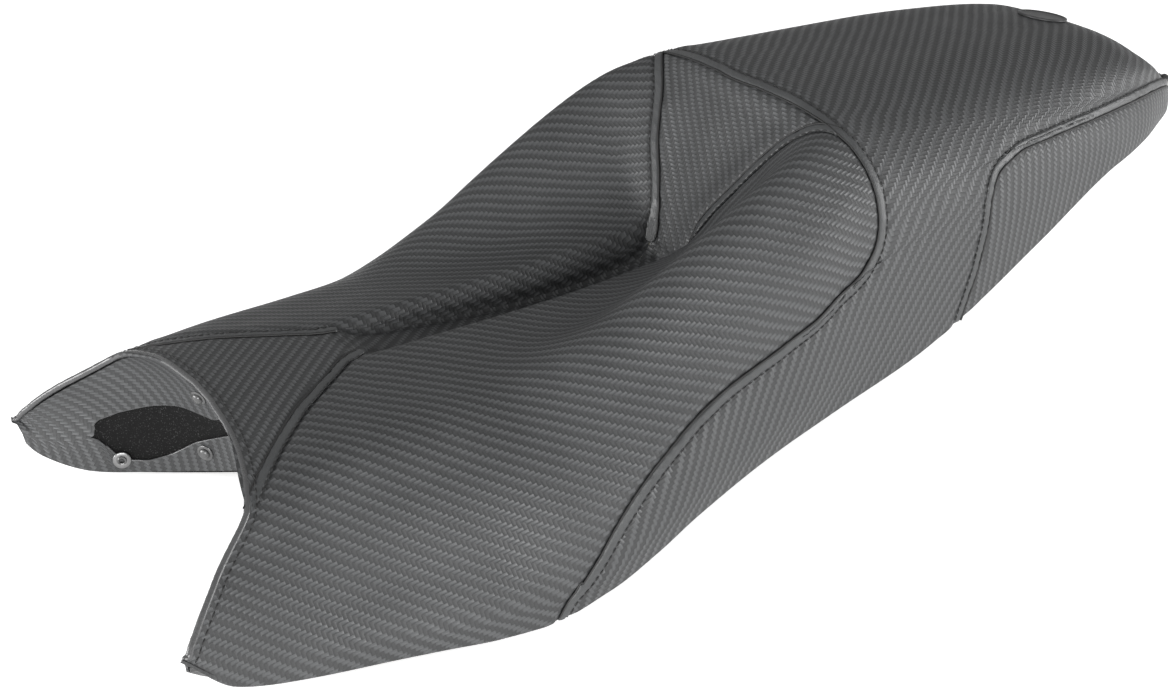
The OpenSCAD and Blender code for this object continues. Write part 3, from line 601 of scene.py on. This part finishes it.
def build_panel(node, place, spacing_s, spacing_c, base, turn, depth, puff, edges, right):
    """One sewn panel of the cover as a closed sheet, with its weave laid out flat."""
    y, w = grid_of(place, spacing_s.fractions, spacing_c.fractions)
    p, _, pw, n = skin_frame(y, w)
    d, at = to_seam(p)
    lift = -depth * (1 - smoothstep((d - 2.8) / 2.2)) + puff * np.exp(-((d - 9) / 5) ** 2)
    lift += -0.8 * np.exp(-d / 12) + 0.16 * np.exp(-((d - 6) / 6) ** 2) * wavering(at, 13, 3)
    front = np.minimum(smoothstep(np.linalg.norm(p - nearest_arch(w), axis=-1) / 16), 1)
    lift *= front
    p = p + n * lift[..., None]

    m = (len(spacing_s.fractions), len(spacing_c.fractions))
    coarse = (min(30, m[0]), min(34, m[1]))
    cy, cw = grid_of(place, spacing_s.at(np.linspace(0, 1, coarse[0])),
                     spacing_c.at(np.linspace(0, 1, coarse[1])))
    flat = laid_flat(skin(cy, cw), girth_map(cy, cw, base))
    ws, wc = weights(spacing_s.sigma, coarse[0]), weights(spacing_c.sigma, coarse[1])
    uv = np.stack([ws @ flat[..., k] @ wc.T for k in (0, 1)], -1)

    for end, marked in ((-1, edges[1]), (0, edges[0])):
        if not marked:
            continue
        down = unit(pw[:, end]) * (1 if end else -1)
        out = n[:, end]
        foot = p[:, end].copy()
        centre = foot - EDGE_R * down - EDGE_R * out
        reach = np.clip(np.abs(foot[:, :1]) / 12, 0.1, 1) * np.clip(foot[:, 1:2] / 30, 0.05, 1)
        columns = [centre + EDGE_R * out]
        for t in (25, 50, 70, 90):
            columns.append(centre + EDGE_R * (math.cos(math.radians(t)) * out
                                              + math.sin(math.radians(t)) * down))
        for k in (2, 4):
            columns.append(centre + EDGE_R * down - k * reach * out)
        for k in (1, 4, 8):
            columns.append(centre + (EDGE_R - k * reach) * down - 5.5 * reach * out)
        step = unit(uv[:, end] - uv[:, -2 if end else 1])
        grow = np.array([0, 0.6, 1.2, 1.8, 2.3, 4, 6, 8, 11, 15]) - EDGE_R
        flats = [uv[:, end] + step * g for g in grow]
        columns, flats = np.stack(columns, 1), np.stack(flats, 1)
        if end:
            p = np.concatenate([p[:, :-1], columns], 1)
            uv = np.concatenate([uv[:, :-1], flats], 1)
            n = np.concatenate([n[:, :-1], np.repeat(out[:, None], len(grow), 1)], 1)
        else:
            p = np.concatenate([columns[:, ::-1], p[:, 1:]], 1)
            uv = np.concatenate([flats[:, ::-1], uv[:, 1:]], 1)
            n = np.concatenate([np.repeat(out[:, None], len(grow), 1), n[:, 1:]], 1)

    across, along = np.gradient(p, axis=1), np.gradient(p, axis=0)
    normal = np.cross(across, along)
    size = np.linalg.norm(normal, axis=-1, keepdims=True)
    normal = np.where(size > 1e-3, normal / np.maximum(size, 1e-9), n)
    inner = p - VINYL_T * normal
    if right:
        p, inner = p * [-1, 1, 1], inner * [-1, 1, 1]
        uv = uv * [1, -1]
    uv = turned(uv, turn).reshape(-1, 2)
    cover_points.append(p.reshape(-1, 3))
    cover_normals.append((n * ([-1, 1, 1] if right else [1, 1, 1])).reshape(-1, 3))
    points, faces = closed_sheet(p, inner, flip=not right)
    piece = finished(node.replace("cover", "panel"), points, faces, vinyl,
                     uv=np.vstack([uv, uv]))
    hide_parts(node)


arch_samples = arch_line(np.linspace(-1, 1, 600))
arch_skin = skin(arch_samples[:, 0], arch_samples[:, 1])


def nearest_arch(w):
    """Points of the arch edge at guide numbers w."""
    order = np.argsort(arch_samples[:, 1])
    return np.stack([np.interp(w, arch_samples[order, 1], arch_skin[order, k])
                     for k in range(3)], -1)


# ---- materials ----

class Shader:
    """A material's nodes, built up by short calls."""

    def __init__(self, name, colour, rough, metal=0.0, coat=0.0):
        self.material = bpy.data.materials.new(name)
        self.material.use_nodes = True
        self.tree = self.material.node_tree
        self.main = self.tree.nodes["Principled BSDF"]
        self.main.inputs["Base Color"].default_value = (*colour, 1)
        self.main.inputs["Roughness"].default_value = rough
        self.main.inputs["Metallic"].default_value = metal
        self.main.inputs["Coat Weight"].default_value = coat
        self.place = self.tree.nodes.new("ShaderNodeTexCoord").outputs["Object"]

    def link(self, source, socket):
        if hasattr(source, "is_output"):
            self.tree.links.new(source, socket)
        else:
            socket.default_value = source

    def math(self, operation, a, b=0.0, c=0.0):
        node = self.tree.nodes.new("ShaderNodeMath")
        node.operation = operation
        for k, v in enumerate((a, b, c)):
            self.link(v, node.inputs[k])
        return node.outputs[0]

    def noise(self, scale, detail=3.0, rough=0.55):
        node = self.tree.nodes.new("ShaderNodeTexNoise")
        node.inputs["Scale"].default_value = scale
        node.inputs["Detail"].default_value = detail
        node.inputs["Roughness"].default_value = rough
        self.tree.links.new(self.place, node.inputs["Vector"])
        return node.outputs["Fac"]

    def ramp(self, value, low, high, a, b):
        node = self.tree.nodes.new("ShaderNodeMapRange")
        for k, v in enumerate((value, low, high, a, b)):
            self.link(v, node.inputs[k])
        return node.outputs[0]

    def tones(self, value, dark, light):
        node = self.tree.nodes.new("ShaderNodeMix")
        node.data_type = "RGBA"
        self.link(value, node.inputs["Factor"])
        node.inputs[6].default_value = (*dark, 1)
        node.inputs[7].default_value = (*light, 1)
        self.tree.links.new(node.outputs[2], self.main.inputs["Base Color"])

    def rough(self, value):
        self.tree.links.new(value, self.main.inputs["Roughness"])

    def bump(self, height, depth):
        node = self.tree.nodes.new("ShaderNodeBump")
        node.inputs["Strength"].default_value = 1.0
        node.inputs["Distance"].default_value = depth
        self.tree.links.new(height, node.inputs["Height"])
        self.tree.links.new(node.outputs["Normal"], self.main.inputs["Normal"])


def twill_vinyl(name, dark, light):
    """Vinyl embossed as a 2 x 2 twill weave, with painted reflection: the warp floats and the
    crowns of the tows are painted lighter than the weft; the map counts tows.
    """
    m = Shader(name, light, 0.45)
    uv = m.tree.nodes.new("ShaderNodeUVMap")
    uv.uv_map = "weave"
    split = m.tree.nodes.new("ShaderNodeSeparateXYZ")
    m.tree.links.new(uv.outputs["UV"], split.inputs[0])
    p, q = split.outputs[0], split.outputs[1]
    i, j = m.math("FLOOR", p), m.math("FLOOR", q)
    fp, fq = m.math("FRACT", p), m.math("FRACT", q)
    step = m.math("FLOORED_MODULO", m.math("ADD", i, j), 4.0)
    warp_up = m.math("LESS_THAN", step, 1.5)
    a = m.math("MULTIPLY", m.math("FLOORED_MODULO", m.math("ADD", i, q), 4.0), math.pi / 2)
    b = m.math("MULTIPLY", m.math("SUBTRACT", m.math("FLOORED_MODULO", m.math("ADD", p, j), 4.0),
                                  2.0), math.pi / 2)

    def arched(angle, power):
        return m.math("POWER", m.math("MAXIMUM", m.math("SINE", angle), 0.001), power)

    def tow(across, angle):
        return m.math("MULTIPLY", arched(m.math("MULTIPLY", across, math.pi), 0.55),
                      arched(angle, 0.4))

    warp = m.math("MULTIPLY", tow(fp, a), warp_up)
    weft = m.math("MULTIPLY", m.math("MULTIPLY", tow(fq, b), 0.5),
                  m.math("SUBTRACT", 1.0, warp_up))
    weave = m.math("ADD", warp, weft)
    grain = m.noise(1500, 4)
    blotch = m.noise(28, 3)
    # Painted reflection and shade: warp floats and tow crowns are painted lighter and the dips
    # between tows darker; blotch and grain are the vinyl's own random tone.
    tone = m.math("ADD", m.math("MULTIPLY", weave, 0.3), m.math("MULTIPLY", blotch, 0.25))
    tone = m.math("ADD", tone, m.math("MULTIPLY", warp_up, 0.42))
    tone = m.math("ADD", tone, m.math("MULTIPLY", m.math("SUBTRACT", grain, 0.5), 0.35))
    m.tones(tone, dark, light)
    m.rough(m.math("ADD", m.ramp(blotch, 0.3, 0.7, 0.36, 0.46),
                   m.math("MULTIPLY", m.math("SUBTRACT", 1.0, warp), 0.14)))
    m.bump(m.math("ADD", weave, m.math("MULTIPLY", grain, 0.16)), 0.0003)
    return m.material


def grained(name, dark, light, rough, scale, depth, metal=0.0, coat=0.0):
    """Plain material with a fine grain and slow changes of tone and gloss."""
    m = Shader(name, light, rough, metal=metal, coat=coat)
    grain, blotch = m.noise(scale, 4), m.noise(35, 4)
    m.tones(m.math("ADD", m.math("MULTIPLY", blotch, 0.75), m.math("MULTIPLY", grain, 0.4)),
            dark, light)
    m.rough(m.ramp(m.math("ADD", m.math("MULTIPLY", blotch, 0.7), m.math("MULTIPLY", grain, 0.3)),
                   0.3, 0.7, rough - 0.08, rough + 0.08))
    m.bump(grain, depth)
    return m.material


def speckled(name):
    """Coarse moulded plastic with pale specks."""
    m = Shader(name, (0.02, 0.02, 0.02), 0.55)
    grain = m.noise(1400, 2)
    speck = m.ramp(m.noise(1300, 1, 0.4), 0.62, 0.72, 0.0, 1.0)
    m.tones(m.math("ADD", m.math("MULTIPLY", speck, 0.55), m.math("MULTIPLY", grain, 0.12)),
            (0.002, 0.002, 0.002), (0.06, 0.06, 0.06))
    m.main.inputs["Specular IOR Level"].default_value = 0.12
    m.rough(m.ramp(grain, 0.3, 0.7, 0.65, 0.85))
    m.bump(m.noise(1100, 3), 0.00035)
    return m.material


vinyl = twill_vinyl("cover_vinyl", (0.012, 0.0123, 0.0126), (0.066, 0.068, 0.07))
band_vinyl = grained("seam_vinyl", (0.024, 0.025, 0.026), (0.054, 0.056, 0.057),
                     0.36, 1200, 0.0002)
# Paler, glossier vinyl for the arch hem bead and the window edge; the paler colour is partly a
# painted highlight along these folded edges.
hem_vinyl_with_highlight = grained("hem_vinyl_with_highlight", (0.03, 0.031, 0.032), (0.07, 0.07, 0.071),
                    0.26, 900, 0.00015, coat=0.3)
thread = grained("black_thread", (0.003, 0.003, 0.003), (0.012, 0.012, 0.012),
                 0.6, 2600, 0.0001)
pan_plastic = speckled("pan_plastic")
plain_plastic = grained("moulded_plastic", (0.006, 0.006, 0.0065), (0.02, 0.02, 0.021),
                        0.5, 900, 0.0002)
foam = grained("foam", (0.5, 0.44, 0.27), (0.72, 0.66, 0.45), 0.9, 1600, 0.0006)
gel = grained("gel", (0.04, 0.11, 0.2), (0.08, 0.2, 0.32), 0.25, 300, 0.0001, coat=0.4)
steel = grained("plated_steel", (0.42, 0.42, 0.43), (0.66, 0.66, 0.67),
                0.34, 1100, 0.00006, metal=1.0)
bumper_rubber = grained("bumper_rubber", (0.012, 0.012, 0.012), (0.03, 0.03, 0.03),
                        0.72, 1300, 0.00012)
rivet_metal = grained("rivet_metal", (0.13, 0.13, 0.13), (0.27, 0.27, 0.27),
                      0.36, 1500, 0.00005, metal=0.9)
dark_metal = grained("dark_rivet", (0.07, 0.07, 0.07), (0.14, 0.14, 0.14),
                     0.3, 1500, 0.00005, metal=0.5)
badge_rubber = grained("badge_rubber", (0.012, 0.012, 0.013), (0.035, 0.035, 0.036),
                       0.42, 900, 0.0001)

# ---- CAD nodes that keep their shape ----

KEPT = [
    (plain_plastic, ["seat_pan", "pan_ribs", "horn_floor_left", "horn_floor_right"]),
    (steel, ["tongue_bracket", "tongue_screws", "striker_plate", "striker_loop",
             "striker_screws"]),
    (bumper_rubber, ["bumpers_front", "bumpers_middle", "bumpers_rear"]),
]
for material, names in KEPT:
    for name in names:
        NODES[name].data.materials.clear()
        NODES[name].data.materials.append(material)

# ---- the cover's panels ----


def spacing(place, steps, marked_s, marked_c, start, at):
    """Spacings of a panel along and across, measured on one line each way."""
    return (Spacing(lambda t: place(t, np.full_like(t, at[1])), steps[0], marked_s),
            Spacing(lambda t: place(np.full_like(t, at[0]), t), steps[1], marked_c, start))


PANELS = [
    # nodes, function, steps, marked ends, first c, measured at, base guide, turn of the weave,
    # depth of the seam grooves, puff beside them, rolled edges (first c, last c)
    (["cover_nose"], nose_panel, (3.2, 3.2), (1, 1), (1, 1), -1, (0.4, 0.5), 0, 0,
     0.6, 0.35, (0, 0)),
    (["cover_side_left", "cover_side_right"], side_panel, (3.6, 3.6), (1, 1), (1, 0), 0,
     (0.4, 0.4), 3, 90, 0.9, 0.45, (0, 1)),
    (["cover_channel"], channel_panel, (3, 2.2), (1, 1), (1, 1), -1, (0.5, 0), 0, 0,
     0.8, 0.1, (0, 0)),
    (["cover_bumstop"], bumstop_panel, (2.6, 2.6), (1, 1), (1, 1), -1, (0.6, 0), 0, 0,
     0.8, 0.5, (0, 0)),
    (["cover_passenger"], passenger_panel, (4, 4), (1, 1), (0, 0), -1, (0.4, 0.2), 2, 0,
     0.35, 0.45, (1, 1)),
    (["cover_tail_left", "cover_tail_right"], tail_panel, (3.4, 2.4), (1, 0), (1, 0), 0,
     (0.3, 0.3), 4, 40, 0.5, 0.3, (0, 1)),
]
for names, place, steps, ms, mc, first, at, base, turn, depth, puff, edges in PANELS:
    along, across = spacing(place, steps, ms, mc, first, at)
    for name in names:
        build_panel(name, place, along, across, base, turn, depth, puff, edges,
                    name.endswith("right"))

# ---- seam bands, threads and stitches ----


def curled(seam, ring, k, up):
    """Rings that carry a band round the lower edge of the skin at its end k."""
    out = seam.n[k]
    down = unit(seam.pw[k]) * (1 if seam.yw[k, 1] > 0 else -1)
    foot = seam.p[k]
    centre = foot - EDGE_R * down - EDGE_R * out
    offset = ring - foot
    height = offset @ out
    side = offset - np.outer(height, out)
    side -= np.outer(side @ down, down)
    rings = []
    for t in (0, 30, 60, 90):
        d = math.cos(math.radians(t)) * out + math.sin(math.radians(t)) * down
        rings.append(centre + side + np.outer(height + EDGE_R, d))
    rings.append(rings[-1] - 5 * out)
    return np.array(rings) if up else np.array(rings[::-1])


HIDDEN = -0.55
THREAD_AT = 2.8
PROFILE = [(-2.45, -1.2), (-2.35, -0.5), (-2.0, -0.2), (-1.1, -0.08), (0, -0.05), (1.1, -0.08),
           (2.0, -0.2), (2.35, -0.5), (2.45, -1.2), (1.4, -1.6), (-1.4, -1.6)]


def band(seam, curl=(False, False), flat=0.0):
    """Raised folded strip along a seam."""
    columns = []
    for k, (t, h) in enumerate(PROFILE):
        wrinkle = (0.11 * wavering(seam.s + 1.1 * t, 6.5, 5)
                   + 0.07 * wavering(seam.s - 2 * t, 3.1, 9))
        columns.append(seam.beside(t + 0.15 * wavering(seam.s, 15, 21),
                                   h + (wrinkle - flat) * (h > HIDDEN)))
    rings = np.stack(columns, 1)
    if curl[0]:
        rings = np.concatenate([curled(seam, rings[0], 0, False), rings[2:]])
    if curl[1]:
        rings = np.concatenate([rings[:-2], curled(seam, rings[-1], -1, True)])
    return tube(rings)


def cord_line(points, radius, sides=8):
    """Round closed tube through points."""
    along = unit(np.gradient(points, axis=0))
    up = np.broadcast_to([0.0, 0.0, 1.0], along.shape)
    side = unit(np.cross(along, up) + [1e-4, 0, 0])
    up = np.cross(side, along)
    rings = []
    radius = np.broadcast_to(radius, len(points))[:, None]
    for k in range(sides):
        t = 2 * math.pi * k / sides
        rings.append(points + radius * (math.cos(t) * side + math.sin(t) * up))
    return tube(np.stack(rings, 1))


def stitches(seam, t, height, pitch=4.0, length=3.1, radius=0.4):
    """Short round threads in a row beside a seam."""
    line = seam.beside(t, np.full(len(seam.s), height))
    ups = seam.n
    at = lengths(line)
    starts = np.arange(pitch, at[-1] - pitch, pitch)
    shape = [(0, 0.05, -0.35), (0.12, 0.75, -0.05), (0.5, 1, 0.12), (0.88, 0.75, -0.05),
             (1, 0.05, -0.35)]
    parts = []
    for s in starts:
        rings = []
        u = unit(np.array([np.interp(s, at, ups[:, k]) for k in range(3)]))
        ends = [np.array([np.interp(s + f * length, at, line[:, k]) for k in range(3)])
                for f in (0, 1)]
        run_of = unit(ends[1] - ends[0])
        side = np.cross(run_of, u)
        for f, r, h in shape:
            centre = mix(ends[0], ends[1], f) + u * h * radius
            rings.append([centre + r * radius * (math.cos(a) * side + math.sin(a) * u)
                          for a in np.linspace(0, 2 * math.pi, 6, endpoint=False)])
        parts.append(tube(np.array(rings)))
    return parts


def both(parts, symmetric):
    """Pieces of one half and their mirror images, or of a seam that crosses the middle."""
    return joined(parts if symmetric else parts + [mirror(p) for p in parts])


SEWN = [
    # seam, curls, flatness, side of the black cord painted as the shadowed gap with its thread,
    # whole seam crosses the middle
    ("nose", (False, False), 0.0, 1, False),
    ("bumstop", (False, False), 0.0, 1, False),
    ("ridge", (True, True), 0.0, -1, True),
    ("tail", (False, True), 0.1, 1, False),
]
for key, curl, flat, shaded_side, symmetric in SEWN:
    seam = SEAMS[key]
    points, faces = both([band(seam, curl, flat)], symmetric)
    finished("seam_" + key, points, faces, band_vinyl)
    # Painted shade: a continuous black cord in the groove on the side the band shades stands for
    # the shadowed gap and the thread in it; the other side gets short stitches.
    shadow_cord = [cord_line(seam.beside(shaded_side * THREAD_AT, np.full(len(seam.s), -0.4))[1:-1], 0.6)]
    points, faces = both(shadow_cord, symmetric)
    finished("seam_shadow_cord_" + key, points, faces, thread)
    points, faces = both(stitches(seam, -shaded_side * THREAD_AT, -0.15), symmetric)
    finished("stitches_" + key, points, faces, thread)

# ---- front arch: hem, turned-in cover, wall, rivets ----

HEM_R = 1.72
arch = Seam(arch_line, -0.975, 0.975, 0.9)
radius = HEM_R * (1 + 0.035 * wavering(arch.s, 5, 31) + 0.02 * wavering(arch.s, 2.2, 32))
tip = np.clip(np.minimum(arch.s, arch.length - arch.s) / 3, 0.02, 1)
radius = radius * np.sqrt(tip * (2 - tip))
centre = arch.p - arch.n * 1.2 - arch.side * 0.7
rings = [centre + radius[:, None] * (math.cos(t) * arch.n + math.sin(t) * arch.side)
         for t in np.linspace(0, 2 * math.pi, 14, endpoint=False)]
points, faces = tube(np.stack(rings, 1))
# The bead's paler vinyl is partly a painted highlight along the arch edge.
hem = finished("arch_hem_bead", points, faces, hem_vinyl_with_highlight)
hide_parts("arch_hem")
points, faces = joined(stitches(arch, 3.4, 0.08, 4.2, 3.3, 0.42))
finished("stitches_arch", points, faces, thread)

WINDOW_TOP = [[0, 0.66], [0.24, 0.67], [0.31, 0.69], [0.35, 0.64], [0.39, 0.58], [0.47, 0.51],
              [0.55, 0.46], [0.61, 0.46], [0.635, 0.5], [0.646, 0.6], [0.66, 0.62], [1, 0.62]]
WINDOW_FOOT = [[0, 0.8], [0.29, 0.8], [0.39, 0.83], [0.47, 0.88], [0.55, 0.91], [0.61, 0.89],
               [0.635, 0.82], [0.646, 0.66], [0.66, 0.62], [1, 0.62]]


def rounded(table, a):
    """Values of a table of [a, b], with its corners rounded off."""
    t = np.array(table)
    x = np.linspace(0, 1, 401)
    v = np.interp(x, t[:, 0], t[:, 1])
    wide = np.concatenate([v[8:0:-1], v, v[-2:-10:-1]])
    kernel = np.hanning(15)
    return np.interp(np.abs(a), x, np.convolve(wide, kernel / kernel.sum(), "same")[8:-8])


def arch_layer(a, b, d):
    """Points at depth d behind the arch's face."""
    e = 0.01
    across = arch_face(np.minimum(1, a + e), b) - arch_face(np.maximum(-1, a - e), b)
    down = arch_face(a, np.minimum(1, b + e)) - arch_face(a, np.maximum(0, b - e))
    return arch_face(a, b) + np.asarray(d)[..., None] * unit(np.cross(across, down))


LINER_FRONT, LINER_BACK = -1.6, -0.4


def arch_strip(columns, top, foot, rows, curve):
    """Strip of the turned-in cover between two lines of the arch's face, with its flat map."""
    a, f = np.meshgrid(columns, np.linspace(0, 1, rows), indexing="ij")
    b = mix(top(a), foot(a), f)
    wrinkle = (0.22 * wavering(a * 130 + 6 * b, 17, 41) + curve) * np.sin(math.pi * f)
    outer, inner = arch_layer(a, b, LINER_FRONT - wrinkle), arch_layer(a, b, LINER_BACK + 0 * a)
    points, faces = closed_sheet(outer, inner, flip=True)
    u = lengths(outer[:, rows // 2])
    v = np.linalg.norm(np.diff(outer, axis=1), axis=-1)
    v = np.concatenate([np.zeros((len(columns), 1)), np.cumsum(v, 1)], 1)
    return points, faces, np.stack([np.repeat(u[:, None], rows, 1), v], -1).reshape(-1, 2)


columns = np.linspace(-0.955, 0.955, 240)
upper = arch_strip(columns, lambda a: 0.03 + 0 * a, lambda a: rounded(WINDOW_TOP, a), 24, 0.3)
lower = arch_strip(columns, lambda a: rounded(WINDOW_FOOT, a), lambda a: 0.985 + 0 * a, 12, 0.1)
points, faces = joined([upper[:2], lower[:2]])
uv = turned(np.vstack([upper[2], upper[2], lower[2], lower[2]]), 45)
liner = finished("arch_liner_cover", points, faces, vinyl, uv=uv)
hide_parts("arch_liner")

a = np.linspace(-0.9, 0.9, 180)
b = np.linspace(0.04, 1, 28)
ga, gb = np.meshgrid(a, b, indexing="ij")
points, faces = closed_sheet(arch_layer(ga, gb, 0 * ga), arch_layer(ga, gb, 2.8 + 0 * ga))
wall = finished("arch_wall_face", points, faces, pan_plastic)
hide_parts("arch_wall")

# Rolled edge round the window, in the paler hem vinyl: its paler colour is partly a painted
# highlight along the fold.
a = np.linspace(-0.641, 0.641, 260)
edge_parts = [cord_line(arch_layer(a, rounded(t, a), -1.0 + 0 * a), 0.62)
              for t in (WINDOW_TOP, WINDOW_FOOT)]
points, faces = joined(edge_parts)
finished("window_edge", points, faces, hem_vinyl_with_highlight)


def spun(profile, centre, axis, sides):
    """Points of a profile of [radius, height] turned about an axis, one row for each side."""
    side = unit(np.cross(axis, [0.3, 0.5, 0.8]))
    other = np.cross(axis, side)
    t = np.linspace(0, 2 * math.pi, sides, endpoint=False)[:, None, None]
    r, h = np.array(profile, float).T[..., None]
    return centre + axis * h + np.maximum(r, 0.01) * (np.cos(t) * side + np.sin(t) * other)


def lathe(profile, centre, axis, sides=40):
    """Turned piece: the profile runs from the axis at the foot to the axis on top."""
    return tube(spun(profile, centre, axis, sides).swapaxes(0, 1))


def ring_of(profile, centre, axis, sides=40):
    """Turned ring: the closed profile runs round its section."""
    rings = spun(profile, centre, axis, sides)
    m, n = rings.shape[:2]
    k = np.arange(m * n).reshape(m, n)
    j, up = np.roll(k, -1, axis=1), np.roll(k, -1, axis=0)
    faces = np.stack([k, j, np.roll(j, -1, axis=0), up], -1).reshape(-1, 4).tolist()
    return rings.reshape(-1, 3), faces


WASHERS = [[0.62, 0.88], [-0.62, 0.88]]
DOMES = [[0.37, 0.885], [-0.37, 0.885], [0.315, 0.52], [-0.315, 0.52]]


def on_arch(a, b, d):
    """Point at depth d behind the arch's face, and the direction out of it."""
    p = arch_layer(np.array(a), np.array(b), np.array(d))
    q = arch_layer(np.array(a), np.array(b), np.array(d - 1.0))
    return p, unit(q - p)


washer = [(1.6, 0), (4.9, 0), (5.1, 0.25), (5.0, 0.6), (4.6, 0.8), (3.2, 1.0), (2.0, 0.7),
          (1.6, 0.4)]
flange = [(1.6, 0), (4.6, 0), (4.8, 0.3), (4.4, 0.6), (1.6, 0.6)]
collar = [(1.5, -0.4), (2.5, -0.4), (2.7, 0.5), (2.3, 0.9), (1.6, 0.6)]
dome = [(0, -0.6), (3.2, -0.6), (3.3, 0.2), (3.1, 0.9), (2.5, 1.5), (1.6, 1.9), (0.7, 2.05),
        (0, 2.1)]
points, faces = joined([ring_of(washer, *on_arch(a, b, -1.8)) for a, b in WASHERS])
piece = finished("washers", points, faces, rivet_metal)
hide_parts("rivet_washers")
points, faces = joined([lathe(dome, *on_arch(a, b, -2.7)) for a, b in DOMES]
                       + [ring_of(flange, *on_arch(a, b, -2.0)) for a, b in DOMES]
                       + [ring_of(collar, *on_arch(a, b, -2.4)) for a, b in WASHERS])
piece = finished("rivets", points, faces, dark_metal)
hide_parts("cover_rivets")

# ---- plain round patch near the tail ----

PATCH_Y = 621.0
p, _, _, n = skin_frame(np.array(PATCH_Y), np.array(0.0))
patch = [(0, -0.6), (14.6, -0.6), (15, -0.2), (15, 0.55), (14.6, 0.95), (13.6, 1.0), (13.1, 0.62),
         (12.4, 0.5), (0, 0.5)]
points, faces = lathe(patch, p + n * 0.2, n, 72)
piece = finished("tail_patch", points, faces, badge_rubber)
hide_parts("tail_badge")

# ---- padding under the cover, in metres ----

PUSH_RANGE, PUSH_LIMIT = 0.03, 0.02
cover_at = metres(np.vstack(cover_points))
cover_out = np.vstack(cover_normals)
cover_tree = KDTree(len(cover_at))
for k, v in enumerate(cover_at):
    cover_tree.insert(v, k)
cover_tree.balance()


def softened(node, name, material, voxel, depth):
    """Copy of a padding node, remeshed, smoothed and kept at a depth under the cover."""
    work = placed("work", NODES[node].data.copy())
    remesh = work.modifiers.new("remesh", "REMESH")
    remesh.mode = "VOXEL"
    remesh.voxel_size = voxel
    smooth = work.modifiers.new("smooth", "SMOOTH")
    smooth.factor = 0.5
    smooth.iterations = 4
    bpy.context.view_layer.update()
    shaped = work.evaluated_get(bpy.context.evaluated_depsgraph_get())
    mesh = bpy.data.meshes.new_from_object(shaped)
    bpy.data.objects.remove(work)
    co = np.zeros(len(mesh.vertices) * 3)
    mesh.vertices.foreach_get("co", co)
    co = co.reshape(-1, 3)
    for _ in range(2):
        for k, v in enumerate(co):
            _, i, d = cover_tree.find(v)
            if d < PUSH_RANGE:
                short = depth - (cover_at[i] - v) @ cover_out[i]
                co[k] -= min(PUSH_LIMIT, max(0.0, short)) * cover_out[i]
    mesh.vertices.foreach_set("co", co.ravel())
    mesh.materials.clear()
    mesh.materials.append(material)
    mesh.polygons.foreach_set("use_smooth", [True] * len(mesh.polygons))
    mesh.name = name
    piece = placed(name, mesh)
    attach(piece, "root")
    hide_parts(node)


softened("foam_cushion", "foam_core", foam, 0.004, 0.0055)
softened("gel_pad_left", "gel_core_left", gel, 0.002, 0.0028)
softened("gel_pad_right", "gel_core_right", gel, 0.002, 0.0028)

# ---- floor, light and camera ----

world = bpy.data.worlds.new("studio")
bpy.context.scene.world = world
world.use_nodes = True
background = world.node_tree.nodes["Background"].inputs
background["Color"].default_value = (1, 1, 1, 1)
background["Strength"].default_value = 0.4
bpy.context.scene.view_settings.view_transform = "Standard"

mesh = bpy.data.meshes.new("floor")
mesh.from_pydata([(x, y, -0.001) for x, y in ((-6, -6), (6, -6), (6, 6), (-6, 6))], [],
                 [(0, 1, 2, 3)])
floor = placed("floor", mesh)
paper = grained("floor_paper", (0.9, 0.9, 0.9), (0.94, 0.94, 0.94), 0.8, 200, 0.00002)
paper_inputs = paper.node_tree.nodes["Principled BSDF"].inputs
paper_inputs["Emission Color"].default_value = (1, 1, 1, 1)
paper_inputs["Emission Strength"].default_value = 0.62
mesh.materials.append(paper)


def lamp(name, place, aim, size, power):
    """Rectangular lamp of the given size in metres and power in watts, aimed at a point."""
    light = bpy.data.lights.new(name, "AREA")
    light.shape = "RECTANGLE"
    light.size, light.size_y = size
    light.energy = power
    o = placed(name, light)
    o.location = place
    o.rotation_euler = (Vector(aim) - Vector(place)).to_track_quat("-Z", "Y").to_euler()


lamp("key", (2.3, -1.2, 0.55), (0, 0, 0.1), (1.8, 0.9), 72)
lamp("rear", (1.5, 2.2, 0.7), (0, 0.2, 0.1), (1.6, 0.9), 40)
lamp("nose_light", (-0.4, -2.4, 0.7), (0, -0.2, 0.1), (1.6, 0.8), 52)

data = bpy.data.cameras.new("camera")
camera = placed("camera", data)
azimuth, elevation = math.radians(58.225), math.radians(25.846)
back = Vector((math.sin(azimuth) * math.cos(elevation), -math.cos(azimuth) * math.cos(elevation),
               math.sin(elevation)))
camera.location = (0.7749, -0.5524, 0.505)
camera.rotation_euler = back.to_track_quat("Z", "Y").to_euler()
data.lens, data.sensor_width = 55.48, 36
bpy.context.scene.camera = camera
